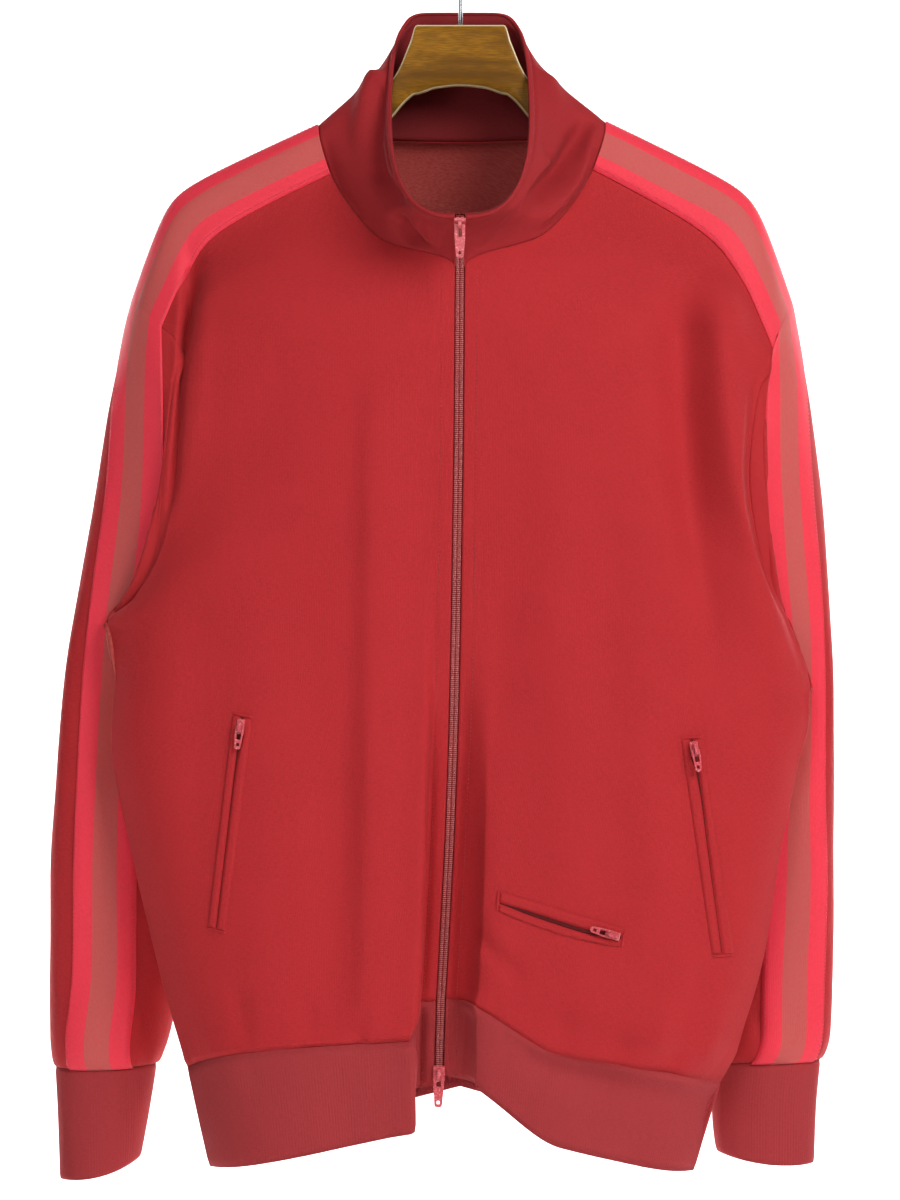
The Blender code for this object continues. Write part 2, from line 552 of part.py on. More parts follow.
# ---------------------------------------------------------------- zip
def beside(points, out, spots):
    """Points and normals at the given distances along a row of points."""
    reach = np.concatenate([[0], np.cumsum(np.linalg.norm(np.diff(points, axis=0), axis=1))])
    pick = lambda rows: np.stack([np.interp(spots, reach, rows[:, i]) for i in range(3)], axis=1)
    return pick(points), unit(pick(out))


def zip_rows(found, normals, side):
    """One side beside the zip, from the waistband's lower edge to the rim.

    Returns for each level the points and normals at ZIP_TAPE_REACH from the cloth's edge, and its thickness.
    """
    first = slice(0, 4) if side < 0 else slice(-1, -5, -1)
    front = found["front_left" if side < 0 else "front_right"][0]
    out = normals["front_left" if side < 0 else "front_right"]
    neck = sum(ROW_STEPS[:NECK])
    band, band_out = found["waistband"][0][::-1], normals["waistband"][::-1]
    collar, collar_out = found["collar"][0], normals["collar"]
    rows = [(band[i, first], band_out[i, first], RIB) for i in range(len(band) - 1)]
    for i in range(neck + 1):
        rows.append((front[i, :4], out[i, :4], RIB if i == 0 else COLLAR if i == neck else CLOTH))
    rows += [(collar[i, first], collar_out[i, first], COLLAR) for i in range(1, len(collar))]
    return [(*beside(points, out, ZIP_TAPE_REACH), thick) for points, out, thick in rows]


def zip_parts(found, normals):
    """The two zip tapes behind the fronts' edges and the coil between them; returns the coil's line."""
    sides = {side: zip_rows(found, normals, side) for side in (-1, 1)}
    left, right = sides[-1], sides[1]
    line = np.array([(a[0][0] + b[0][0]) / 2 for a, b in zip(left, right)])
    out = unit(np.array([a[1][0] + b[1][0] for a, b in zip(left, right)]))
    across = unit(np.array([b[0][0] - a[0][0] for a, b in zip(left, right)]))
    out = unit(out - across * (out * across).sum(axis=1, keepdims=True))
    for side, levels in sides.items():
        points, _, thick = (np.array(part) for part in zip(*levels))
        deep = (thick + ZIP_BEHIND * np.where(thick == COLLAR, 6, 1))[:, None]
        middle = line + side * across * 0.6
        facing = np.repeat(out[:, None], 1 + len(ZIP_TAPE_REACH), axis=1)
        grid = np.concatenate([middle[:, None], points], axis=1) - facing * deep[:, None]
        name = "zip_tape_left" if side < 0 else "zip_tape_right"
        wall(name, grid, grid - facing * ZIP_TAPE, "zip cloth", turned=side < 0)
    top = np.stack([line - across * COIL_HALF, line + across * COIL_HALF], axis=1)
    out2 = np.stack([out, out], axis=1)
    wall("zip_coil", top + out2 * COIL_OUT, top - out2 * COIL_IN, "coil")
    return line, out, across


def box(low, high):
    """A bmesh block from corner to corner, mm."""
    made = bmesh.new()
    bmesh.ops.create_cube(made, size=1)
    size, middle = np.subtract(high, low), np.add(high, low) / 2
    bmesh.ops.scale(made, vec=Vector(size), verts=made.verts)
    bmesh.ops.translate(made, vec=Vector(middle), verts=made.verts)
    return made


def local_object(name, made, frame, paint, hidden=False):
    """An object from a bmesh in mm, placed by a frame in mm."""
    bmesh.ops.scale(made, vec=Vector((MM, MM, MM)), verts=made.verts)
    mesh = bpy.data.meshes.new(name)
    made.to_mesh(mesh)
    made.free()
    mesh.materials.append(material(paint))
    placed = bpy.data.objects.new(name, mesh)
    placed.matrix_world = frame
    (cutters if hidden else parts).objects.link(placed)
    if hidden:
        placed.hide_render = True
        placed.display_type = "WIRE"
    return placed


def frame_at(point, across, along, out):
    """A placing matrix with X across, Y along and Z out, at a point in mm."""
    turn = Matrix((across, along, out)).transposed().to_4x4()
    return Matrix.Translation(Vector(point) * MM) @ turn


SLIDER_LONG, SLIDER_HIGH, BRIDGE_HALF, BRIDGE_HIGH = 10.0, 2.0, 1.0, 3.7
BRIDGE_SPAN, BRIDGE_LEG, BRIDGE_TOP = 7.2, 1.4, 1.0
PIVOT_BACK, PIVOT_UP = 1.0, 1.4  # the tab's pivot from the slider's middle and above its plate


def slider(name, point, across, along, out, wide):
    """A slider: its plate, rounded at the corners, with the bridge that the tab's bar turns under."""
    frame = frame_at(point, across, along, out)
    plate = box((-wide / 2, -SLIDER_LONG / 2, 0), (wide / 2, SLIDER_LONG / 2, SLIDER_HIGH))
    bmesh.ops.bevel(plate, geom=plate.edges[:], offset=0.5, segments=1, affect="EDGES")
    made = local_object(name, plate, frame, "painted metal")
    over = BRIDGE_SPAN / 2
    bridge = box((-BRIDGE_HALF, -over, SLIDER_HIGH - 0.7), (BRIDGE_HALF, over, SLIDER_HIGH + BRIDGE_HIGH))
    bmesh.ops.bevel(bridge, geom=[e for e in bridge.edges if abs(e.verts[0].co.x - e.verts[1].co.x) > 1 and e.verts[0].co.z > SLIDER_HIGH], offset=0.8, segments=1, affect="EDGES")
    over -= BRIDGE_LEG
    gap = box((-BRIDGE_HALF - 1, -over, SLIDER_HIGH), (BRIDGE_HALF + 1, over, SLIDER_HIGH + BRIDGE_HIGH - BRIDGE_TOP))
    for operation, shape, part in (("UNION", bridge, "bridge"), ("DIFFERENCE", gap, "gap")):
        cutter = local_object(f"{name}_{part}", shape, frame, "painted metal", hidden=True)
        step = made.modifiers.new(part, "BOOLEAN")
        step.operation = operation
        step.object = cutter
    return made


def pull_tab(name, point, across, along, out, size, swing):
    """A pull tab: a flat plate with a window round the bridge and a hole near its end, origin on its pivot.

    swing is how far it stands out from the zip at rest, in radians.
    """
    long, wide = size
    turned = Matrix.Rotation(-swing, 3, Vector(across))
    plate = bpy.data.curves.new(name, "CURVE")
    plate.dimensions = "2D"
    plate.fill_mode = "BOTH"
    plate.extrude = PLATE / 2 * MM
    bar = PLATE / 2
    window = BRIDGE_HALF + 0.55
    foot = 0.36 * wide
    outline = [(-wide / 2, bar), (wide / 2, bar), (wide / 2, -0.35 * long), (foot, -long + 1), (foot - 1, -long), (1 - foot, -long), (-foot, -long + 1), (-wide / 2, -0.35 * long)]
    opening = [(-window, -bar), (window, -bar), (window, -7.6), (-window, -7.6)]
    hole = [(-1, -long + 4.2), (1, -long + 4.2), (1, -long + 2), (-1, -long + 2)]
    for loop in (outline, opening, hole):
        spline = plate.splines.new("POLY")
        spline.points.add(len(loop) - 1)
        spline.use_cyclic_u = True
        for spot, (x, y) in zip(spline.points, loop):
            spot.co = (x * MM, y * MM, 0, 1)
    plate.materials.append(material("painted metal"))
    made = bpy.data.objects.new(name, plate)
    made.matrix_world = frame_at(point, across, turned @ Vector(along), turned @ Vector(out))
    parts.objects.link(made)
    return made


def slider_and_tab(kind, place, across, along, out, size, wide):
    """A slider whose plate lies on the place given, and its tab, hanging as its weight leaves it."""
    across, along, out = (Vector(v).normalized() for v in (across, along, out))
    slider("slider_" + kind, place, across, along, out, wide)
    pivot = Vector(place) - along * PIVOT_BACK + out * (SLIDER_HIGH + PIVOT_UP)
    down = Vector((0, 0, -1))
    swing = max(0.0, math.atan2(down.dot(out), down.dot(-along))) if down.dot(-along) > 0 else 0.0
    pull_tab("tab_" + kind, pivot, across, along, out, size, swing)
    print(f"tab_{kind}: pivot_m {[round(v * MM, 5) for v in pivot]} axis {[round(v, 4) for v in across]} swing {math.degrees(swing):.1f}")


def main_sliders(line, out, across):
    """The two sliders of the main zip: one at the rim, one at the lower edge, tabs hanging down."""
    for kind, at, toward, inset in (("top", -1, -2, 4.0), ("bottom", 0, 1, 5.0)):
        along = unit(line[at] - line[toward]) * (1 if kind == "top" else -1)
        place = line[at] + unit(line[toward] - line[at]) * inset + out[at] * (COIL_OUT + ON_CLOTH)
        normal = unit(out[at] + out[toward])
        normal = unit(normal - along * (normal @ along))
        side = np.cross(along, normal)
        slider_and_tab(kind, place, side, along, normal, PULL_MAIN, 8.0)


# ---------------------------------------------------------------- pockets
def seat(grid, turned, x, z):
    """The frontmost point of a front over (x, z), and the normal there."""
    corners = grid.reshape(-1, 3)[triangles(grid, False, turned)]
    a, b, c = corners[:, 0], corners[:, 1], corners[:, 2]
    flat = lambda p: p[:, [0, 2]]
    ab, ac, ap = flat(b - a), flat(c - a), np.array([x, z]) - flat(a)
    area = ab[:, 0] * ac[:, 1] - ab[:, 1] * ac[:, 0]
    area = np.where(abs(area) < 1e-9, 1e-9, area)
    s = (ap[:, 0] * ac[:, 1] - ap[:, 1] * ac[:, 0]) / area
    t = (ab[:, 0] * ap[:, 1] - ab[:, 1] * ap[:, 0]) / area
    inside = (s >= -1e-6) & (t >= -1e-6) & (s + t <= 1 + 1e-6)
    height = np.where(inside, a[:, 1] + s * (b - a)[:, 1] + t * (c - a)[:, 1], np.inf)
    best = int(np.argmin(height))
    normal = unit(np.cross(b[best] - a[best], c[best] - a[best]))
    return np.array([x, height[best], z]), normal


def pocket(kind, corners, front, found):
    """A welt pocket: the zip strip on the cloth, the welt frame over it, and the slider in its slot."""
    grid, _, turned = found[front]
    first_a, first_b, last_b, last_a = (np.array(c, float) for c in corners)
    long = np.linalg.norm((last_a + last_b - first_a - first_b) / 2)
    wide = np.linalg.norm(first_b - first_a)
    ends = np.array([0, POCKET_END, POCKET_END + SLIDER_ROOM, POCKET_END + SLIDER_ROOM + 2])
    stations = np.concatenate([ends, np.linspace(ends[-1], long - POCKET_END, 7)[1:], [long]]) / long
    rows = []
    for station in stations:
        a, b = first_a + (last_a - first_a) * station, first_b + (last_b - first_b) * station
        slot = (SLOT_WIDE if station * long <= ends[2] + 0.1 else SLOT_NARROW[kind]) / wide
        rows.append([a, a + (b - a) * (0.5 - slot / 2), a + (b - a) * (0.5 + slot / 2), b])
    flat = np.array(rows)
    spots = [[seat(grid, turned, *spot) for spot in row] for row in flat]
    base = np.array([[spot[0] for spot in row] for row in spots])
    normal = unit(np.array([[spot[1] for spot in row] for row in spots]).mean(axis=(0, 1)))
    handed = np.cross(base[0, -1] - base[0, 0], base[-1, 0] - base[0, 0]) @ normal < 0
    keep = np.ones((len(stations) - 1, 3), bool)
    keep[1:-1, 1] = False
    under = base + normal * (ON_CLOTH + POCKET_ZIP + 0.9)
    wall("welt_" + kind, under + normal * WELT, under, "tricot", turned=handed, keep=keep)
    inset = (base[1:-1, 1:3] - base[1:-1, 1:3].mean(axis=1, keepdims=True))
    strip = base[1:-1, 1:3].mean(axis=1, keepdims=True) + unit(inset) * np.array([[[4.4], [4.4]]])
    strip = strip + normal * ON_CLOTH
    wall("pocket_zip_" + kind, strip + normal * POCKET_ZIP, strip, "zip cloth", turned=handed)
    middle = base[:, 1:3].mean(axis=1)
    along = unit(middle[1] - middle[-2])
    along = unit(along - normal * (along @ normal))
    across = np.cross(along, normal)
    place = middle[1] - along * (SLIDER_LONG / 2 + 1.2) + normal * (ON_CLOTH + POCKET_ZIP + 1.2)
    slider_and_tab("pocket_" + kind, place, across, along, normal, PULL_POCKET, 5.4)


# ---------------------------------------------------------------- hanger
def hanger():
    """The wooden hanger: a rounded section carried from tip to tip, its arms just under the shoulder seams."""
    tables = {-1: FRONT_LEFT, 1: FRONT_RIGHT}
    halves = {}
    for side, table in tables.items():
        seam = bend_row(table[SHOULDER])
        out, height = abs(seam[:, 0]), seam[:, 2] - HANGER_UNDER_CLOTH
        arm = [(x, float(np.interp(x, out, height)), high, thick) for x, high, thick in HANGER_ARM]
        halves[side] = [(side * x, *sizes) for x, *sizes in (*HANGER_NECK, *arm)]
    rows = halves[-1][:0:-1] + halves[1]
    turn = np.linspace(0, 2 * math.pi, 12, endpoint=False) + math.pi / 12
    grid = []
    for x, top, high, thick in rows:
        y = np.sign(np.cos(turn)) * abs(np.cos(turn)) ** 0.8 * thick / 2
        z = np.sign(np.sin(turn)) * abs(np.sin(turn)) ** 0.7 * high / 2
        grid.append(np.stack([0 * y + x, y + HANGER_Y, z + top - high / 2], axis=1))
    grid = np.array(grid)
    rows_count, around = grid.shape[:2]
    faces = triangles(grid, True, False).tolist()
    last = (rows_count - 1) * around
    faces += [(0, i + 1, i) for i in range(1, around - 1)]
    faces += [(last, last + i, last + i + 1) for i in range(1, around - 1)]
    made = add_object("hanger", grid.reshape(-1, 3), faces, "wood")
    return made


def hook():
    """The hook: a wire that rises from the wood, swings aside and bends over the rail."""
    centre = HOOK_BEND + HOOK_WIRE
    stem = [(0, 0, -83.6), (0, 0, -60), (1.2, 0, -52), (6.5, 0, -43), (13, 0, -34)]
    turns = np.radians(np.linspace(-30, 205, 16))
    arc = [(centre * math.cos(t), 0, centre * math.sin(t) - HOOK_BEND) for t in turns]
    wire = bpy.data.curves.new("hook", "CURVE")
    wire.dimensions = "3D"
    wire.bevel_depth = HOOK_WIRE * MM
    wire.bevel_resolution = 2
    wire.use_fill_caps = True
    spline = wire.splines.new("POLY")
    spline.points.add(len(stem) + len(arc) - 1)
    for spot, place in zip(spline.points, stem + arc):
        spot.co = (*(c * MM for c in place), 1)
    wire.materials.append(material("chrome"))
    made = bpy.data.objects.new("hook", wire)
    parts.objects.link(made)
    return made


# ---------------------------------------------------------------- build
for old in list(bpy.data.objects):
    bpy.data.objects.remove(old)
parts = bpy.data.collections.new("track_jacket_on_hanger")
cutters = bpy.data.collections.new("cutters")
for group in (parts, cutters):
    bpy.context.scene.collection.children.link(group)

skin = grids()
skin_normals = shared_normals(skin)
cloth_walls(skin, skin_normals)
braid("left", skin, skin_normals, -1)
braid("right", skin, skin_normals, 1)
main_sliders(*zip_parts(skin, skin_normals))
for pocket_name, (pocket_corners, pocket_front) in POCKETS.items():
    pocket(pocket_name, pocket_corners, pocket_front, skin)
hanger()
hook()
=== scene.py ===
# %% [markdown]
# # A red track jacket on a wooden hanger
# The jacket is a zip-front top of double-knit tricot with a stand collar, ribbed cuffs and waistband, a braid along
# each shoulder and sleeve, and three zipped pockets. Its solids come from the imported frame. This notebook dresses
# them: it works the cloth out again on a much finer grid, folds it, and adds ribs, stitches, zip teeth and finishes.

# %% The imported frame
import math

import bpy
import numpy as np
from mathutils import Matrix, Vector


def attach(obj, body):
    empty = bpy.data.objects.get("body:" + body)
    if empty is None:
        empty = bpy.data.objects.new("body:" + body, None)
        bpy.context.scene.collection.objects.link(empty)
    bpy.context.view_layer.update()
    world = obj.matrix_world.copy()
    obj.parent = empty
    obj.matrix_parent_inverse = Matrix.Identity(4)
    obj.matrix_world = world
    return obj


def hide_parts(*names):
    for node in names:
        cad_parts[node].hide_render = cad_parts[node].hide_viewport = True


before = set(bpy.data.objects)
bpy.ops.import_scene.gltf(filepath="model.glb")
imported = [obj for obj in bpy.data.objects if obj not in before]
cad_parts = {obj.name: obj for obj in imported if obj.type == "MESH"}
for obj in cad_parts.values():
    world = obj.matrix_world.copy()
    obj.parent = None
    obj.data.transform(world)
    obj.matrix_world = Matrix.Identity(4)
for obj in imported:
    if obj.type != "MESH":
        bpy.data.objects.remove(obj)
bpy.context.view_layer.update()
MM = 0.001
JACKET = "jacket"  # the body that all the cloth rides on

# %% [markdown]
# ## Camera and studio
# The jacket hangs in front of a white paper sweep and is seen straight from the front with a long lens, so the
# view is nearly flat. The main light stands to the right and casts the folds' soft shadows to the left, a weak one
# fills them, and the paper has lights of its own, so that it stays white behind the dark red cloth.

# %% Camera
VIEW_WIDTH, VIEW_AWAY = 0.603, 3.2  # m across the frame at the jacket, and how far the camera stands back
VIEW_X, VIEW_Z = -0.007, -0.469  # m, the middle of the frame
camera_data = bpy.data.cameras.new("studio_camera")
camera_data.sensor_fit = "HORIZONTAL"
camera_data.lens = camera_data.sensor_width * VIEW_AWAY / VIEW_WIDTH
camera = bpy.data.objects.new("studio_camera", camera_data)
camera.location = (VIEW_X, -VIEW_AWAY, VIEW_Z)
camera.rotation_euler = (math.radians(90), 0, 0)
bpy.context.scene.collection.objects.link(camera)
bpy.context.scene.camera = camera
print("lens mm:", round(camera_data.lens, 1))


# %% [markdown]
# ## Materials from nodes
# A finish here is a Principled shader fed by a few noises, waves and mixed colours. Each could be wired by hand, but
# the same few steps come again in every finish, so short functions add them; an effect that several finishes share
# is a node group, made once and placed in each.

# %% Functions that add nodes
def set_inputs(tree, node, inputs):
    """Set each input of a node, by name or number, or link it where its value is a socket."""
    for key, value in inputs.items():
        if isinstance(value, bpy.types.NodeSocket):
            tree.links.new(value, node.inputs[key])
        else:
            node.inputs[key].default_value = value


def add(tree, kind, inputs=(), output=0, **settings):
    """Add a shader node with its settings and inputs, and return one of its outputs."""
    made = tree.nodes.new("ShaderNode" + kind)
    for key, value in settings.items():
        setattr(made, key, value)
    set_inputs(tree, made, dict(inputs))
    return made.outputs[output]


def mix(tree, share, one, other):
    """A colour that lies share of the way from one to the other, each a socket or red, green and blue."""
    one, other = (c if isinstance(c, bpy.types.NodeSocket) else (*c, 1) for c in (one, other))
    return add(tree, "Mix", {0: share, 6: one, 7: other}, 2, data_type="RGBA")


def noise(tree, vector, scale, detail=2.0, **more):
    """The factor of a noise texture."""
    return add(tree, "TexNoise", {"Vector": vector, "Scale": scale, "Detail": detail, **more})


def scaled(tree, vector, by):
    """A vector times another, part by part."""
    return add(tree, "VectorMath", {0: vector, 1: by}, operation="MULTIPLY")


def ramp(tree, value, low, high, to_low=0.0, to_high=1.0, kind="LINEAR"):
    """A value carried from low and high to to_low and to_high, and held between them."""
    inputs = {0: value, 1: low, 2: high, 3: to_low, 4: to_high}
    return add(tree, "MapRange", inputs, interpolation_type=kind)


def raised(tree, height, strength):
    """A bump 0.2 mm high for a height of 1."""
    return add(tree, "Bump", {"Height": height, "Strength": strength, "Distance": 0.0002})


def new_group(name, inputs, *outputs):
    """A node group with inputs of a name, a kind and often a value; returns it and what it is given."""
    group = bpy.data.node_groups.new(name, "ShaderNodeTree")
    for title, kind, *value in inputs:
        made = group.interface.new_socket(title, in_out="INPUT", socket_type="NodeSocket" + kind)
        if value:
            made.default_value = value[0]
    for title, kind in outputs:
        group.interface.new_socket(title, in_out="OUTPUT", socket_type="NodeSocket" + kind)
    return group, group.nodes.new("NodeGroupInput").outputs


def give(group, **outputs):
    """Link what a group gives out, and return the group."""
    set_inputs(group, group.nodes.new("NodeGroupOutput"), outputs)
    return group


def use_group(tree, group, inputs):
    """Place a group in a material with its own inputs, and return its outputs."""
    made = tree.nodes.new("ShaderNodeGroup")
    made.node_tree = group
    set_inputs(tree, made, inputs)
    return made.outputs


def plain_material(name, colour, roughness, more=()):
    """A material whose Principled shader has these inputs; returns it, its node tree and the shader."""
    made = bpy.data.materials.new(name)
    made.use_nodes = True
    shader = made.node_tree.nodes["Principled BSDF"]
    set_inputs(made.node_tree, shader, {"Base Color": (*colour, 1), "Roughness": roughness, **dict(more)})
    return made, made.node_tree, shader


# %% Paper sweep, lights and the world
def paper_sweep(front=-3.6, back=1.3, floor=-1.35, top=1.9, radius=0.6, wide=4.0):
    """A floor that bends up into a wall: a quarter circle between two straight runs, carried across X."""
    turn = np.linspace(0, math.pi / 2, 17)
    y = np.concatenate([[front], back - radius + radius * np.sin(turn), [back]])
    z = np.concatenate([[floor], floor + radius * (1 - np.cos(turn)), [top]])
    ends = [np.stack([0 * y + x, y, z], axis=1) for x in (-wide, wide)]
    count = len(y)
    faces = [(i, i + count, i + count + 1, i + 1) for i in range(count - 1)]
    mesh = bpy.data.meshes.new("paper_sweep")
    mesh.from_pydata(np.concatenate(ends).tolist(), [], faces)
    mesh.polygons.foreach_set("use_smooth", [True] * len(mesh.polygons))
    return bpy.data.objects.new("paper_sweep", mesh)


sweep = paper_sweep()
bpy.context.scene.collection.objects.link(sweep)
paper, tree, shader = plain_material("white_paper", (0.93, 0.93, 0.93), 0.9)
behind = add(tree, "NewGeometry", output="Backfacing")  # the paper is clear there, so that the back can be seen
set_inputs(tree, shader, {"Alpha": add(tree, "Math", {0: 1.0, 1: behind}, operation="SUBTRACT")})
sweep.data.materials.append(paper)


def soft_light(name, place, target, size, watts):
    """A square area light at a place, turned to look at a target."""
    data = bpy.data.lights.new(name, "AREA")
    data.size, data.energy = size, watts
    lamp = bpy.data.objects.new(name, data)
    lamp.location = place
    lamp.rotation_euler = (Vector(target) - Vector(place)).to_track_quat("-Z", "Y").to_euler()
    bpy.context.scene.collection.objects.link(lamp)


LIGHTS = (
    # name, place, target, size, watts
    ("key", (1.55, -2.0, 1.0), (0, 0, -0.36), 1.5, 62),
    ("fill", (-0.7, -2.4, 0.4), (0, 0, -0.36), 1.5, 18),
    ("paper_left", (-1.5, 0.5, -0.2), (-1.2, 1.6, -0.4), 1.0, 64),
    ("paper_right", (1.5, 0.5, -0.2), (1.2, 1.6, -0.4), 1.0, 64),
)
for row in LIGHTS:
    soft_light(*row)
WORLD_STRENGTH = 0.09
world = bpy.data.worlds.new("studio")
world.use_nodes = True
set_inputs(world.node_tree, world.node_tree.nodes["Background"], {"Color": (1, 1, 1, 1), "Strength": WORLD_STRENGTH})
bpy.context.scene.world = world
bpy.context.scene.view_settings.view_transform = "Standard"
print("lights:", len(LIGHTS))


# %% [markdown]
# ## The skin of the cloth
# A hanging jacket is a few large flat pieces that curve round the body of air inside. Each piece here is a grid of
# points between named rows: the hem seam, the underarm, the neck, the shoulder. A row bends from the zip by way
# of a corner to the side, and a smooth cubic carries it from row to row, so a handful of measured points gives a
# whole panel. The grid could be sculpted or simulated instead, but rows keep every seam where the solids have it.

# %% Sizes and rows of the fronts and the back, in millimetres
LEFT, RIGHT = -1, 1  # as seen from the front: signs of x
CLOTH = 1.2  # fronts, back and sleeves: double-knit tricot
RIB = 2.0  # waistband and cuffs: folded rib knit
COLLAR = 2.4  # two layers
ZIP_EDGE = 3.4  # from the zip's centre line to the edge of each front
TAPE_ROUND, TAPE_WIDTH = 15.0, 44.0  # how far the braid goes round the top, and its whole width
FINE = 6  # grid lines here for each one in the solids
UNDERARM, NECK, SHOULDER = 5, 9, 13  # rows of the tables below, from 0 at the hem seam
ROW_STEPS = FINE * np.array([2, 2, 2, 2, 2, 2, 2, 2, 2, 3, 3, 1, 2])  # grid rows between two table rows
COLUMN_KNOTS = (0, 0.022, 0.05, 0.08, 0.12, 0.2, 0.32, 0.44, 0.54, 0.66, 0.79, 0.91, 1)
COLUMN_STEPS = (6, 6, 6, 6, 8, 7, 6, 6, 6, 6, 10, 14)  # grid columns between them, closer where folds are sharp
FRONT_COLUMNS = np.interp(np.arange(sum(COLUMN_STEPS) + 1), np.cumsum((0, *COLUMN_STEPS)), COLUMN_KNOTS)
NECK_COLUMNS = 5 * FINE  # grid columns of the back between centre back and the shoulder seam
NECK_SHARE = 0.4  # share of the back's half width that they take
BACK_COLUMNS = np.concatenate(
    [np.linspace(0, NECK_SHARE, NECK_COLUMNS, endpoint=False), NECK_SHARE + (1 - NECK_SHARE) * FRONT_COLUMNS]
)
BRAID_COLUMNS = ROW_STEPS[-2:].sum()  # grid lines across the braid: the rows of a front that lie under it

# Each row: the edge at the zip or neckline, the corner that the row bends towards, the side or armhole edge,
# and for a sharper bend its roundness.
# The edges at the zip are where the cloth would hang if the zip did not pull it back and up.
FRONT_LEFT = (
    # centre edge          corner                 side edge
    ((-16.4, -72, -757), (-174, -92, -763), (-182.5, -22, -780)),  # hem seam
    ((-13.7, -71, -697), (-193, -88, -705), (-200.5, -26, -715)),
    ((-10.4, -70, -625), (-211, -84, -632), (-218.5, -30, -636)),
    ((-8.0, -68, -551), (-222, -80, -560), (-231.5, -34, -565)),
    ((-7.3, -67.5, -518), (-222, -79, -521), (-230, -33, -523)),
    ((-6.6, -67, -485), (-213, -76, -485), (-235, -25, -486)),  # underarm
    ((-5.7, -67.5, -425), (-197, -72, -456), (-216, -34, -467)),
    ((-4.8, -66, -365), (-150, -73, -405), (-196, -40, -428)),
    ((-4.3, -63, -307), (-112, -70, -328), (-186.5, -44, -365)),
    ((-3.9, -60, -250), (-124, -60, -267), (-184.8, -41, -307)),  # neck seam at the zip
    ((-52, -46, -231), (-166, -45, -245), (-190.5, -34, -295)),
    ((-86.5, -15, -185), (-176, -17, -226), (-198.5, -28, -288), 0.35),  # front edge of the braid
    ((-94.5, -8.5, -158), (-193, -8.5, -204), (-214.5, -12, -273), 0.25),  # hanger's front edge
    ((-95, 0, -151), (-195.5, 0, -196.6), (-219.5, 2, -268), 0.2),  # shoulder seam
)
FRONT_RIGHT = (
    ((-9.6, -72, -755), (158, -90, -783), (173.5, -22, -790)),
    ((-6.9, -71, -697), (192, -86, -705), (200, -27, -712)),
    ((-3.6, -70, -625), (205, -84, -636), (212, -30, -640)),
    ((-1.2, -68, -551), (213, -81, -572), (224, -30, -578)),
    ((-0.5, -67.5, -518), (219, -80, -545), (231, -29, -552)),
    ((0.2, -67, -485), (213, -76, -516), (232.5, -26, -529)),
    ((1.1, -67.5, -425), (199, -73, -472), (219, -37, -488)),
    ((2.0, -66, -365), (150, -74, -414), (199, -44, -443)),
    ((2.5, -63, -307), (112, -72, -334), (190.5, -48, -385)),
    ((2.9, -60, -250), (118, -62, -268), (198, -44, -329)),
    ((55.5, -46, -227), (168, -45, -246), (205.5, -42, -317)),
    ((88, -15, -182), (178, -17, -227), (207, -36, -303), 0.35),
    ((96.5, -8.5, -156), (195, -8.5, -204), (217, -12, -277), 0.25),
    ((97, 0, -149), (197.5, 0, -196.6), (222, 2, -271), 0.2),
)
# Back: centre back, then for each half the corner and the armhole edge; below the underarm the fronts' side
# edges are used. The rows above lie between the last of these and the shoulder seam, which is the fronts' own.
BACK = (
    # centre back     left corner         left armhole        right corner       right armhole
    ((0, 55, -742), (-165, 50, -768), None, (165, 50, -774), None),
    ((0, 57, -695), (-165, 42, -710), None, (165, 42, -708), None),
    ((0, 57, -630), (-155, 36, -635), None, (155, 36, -638), None),
    ((0, 56, -560), (-150, 30, -563), None, (150, 30, -572), None),
    ((0, 55, -525), (-148, 30, -523), None, (148, 30, -542), None),
    ((0, 54, -490), (-150, 30, -489), None, (150, 30, -515), None),
    ((0, 53, -430), (-150, 42, -450), (-221, -4, -464), (150, 42, -465), (222, -6, -492)),
    ((0, 52, -370), (-130, 56, -400), (-202, 24, -425), (130, 56, -410), (204, 22, -445)),
    ((0, 51, -310), (-125, 60, -338), (-192, 42, -363), (125, 60, -350), (194, 42, -385)),
    ((0, 49, -262), (-125, 56, -274), (-190, 40, -307), (125, 56, -285), (196, 40, -327)),
    ((0, 46, -222), (-150, 45, -240), (-193.5, 33, -292), (150, 45, -248), (200, 33, -312)),
)
NECK_CENTRE_BACK = (0, 40, -158)
NECK_CORNER_BACK = (80, 42, -158)  # the back neckline bends towards it, on both sides
BACK_SHOULDER = ((0.55, 7, 4), (0.86, 7.5, 1))  # how near the seam, then how far back and up from the straight

# How far the zip pulls the cloth beside it back and up, in the rows from the hem seam up
ZIP_PULL = ((25, 23), (26, 13), (21, 5), (9, 1), (4, 0), (1, 0), (0, 0), (0, 0), (0, 0), (0, 0))
FOLD_LEFT = (14.5, 20.5)  # the cloth folds over the zip between these distances from it
DIP_RIGHT = (5.0, 23.0)  # on the other side it rises more softly
LIFT_RIGHT = (15.0, 80.0)

# %% Waistband, sleeves, cuffs and collar
# Waistband: its lower edge as one more row for each front, and the back's corners and centre
BAND_LEFT = ((-18, -70, -815), (-158, -90, -846), (-167, -28, -845))
BAND_RIGHT = ((-11, -70, -808), (146, -72, -852), (155.5, -26, -848))
BAND_BACK = ((0, 52, -800), (-150, 48, -836), (150, 48, -840))
BAND_PULL = (26, 25)
BAND_STEPS = 2 * FINE

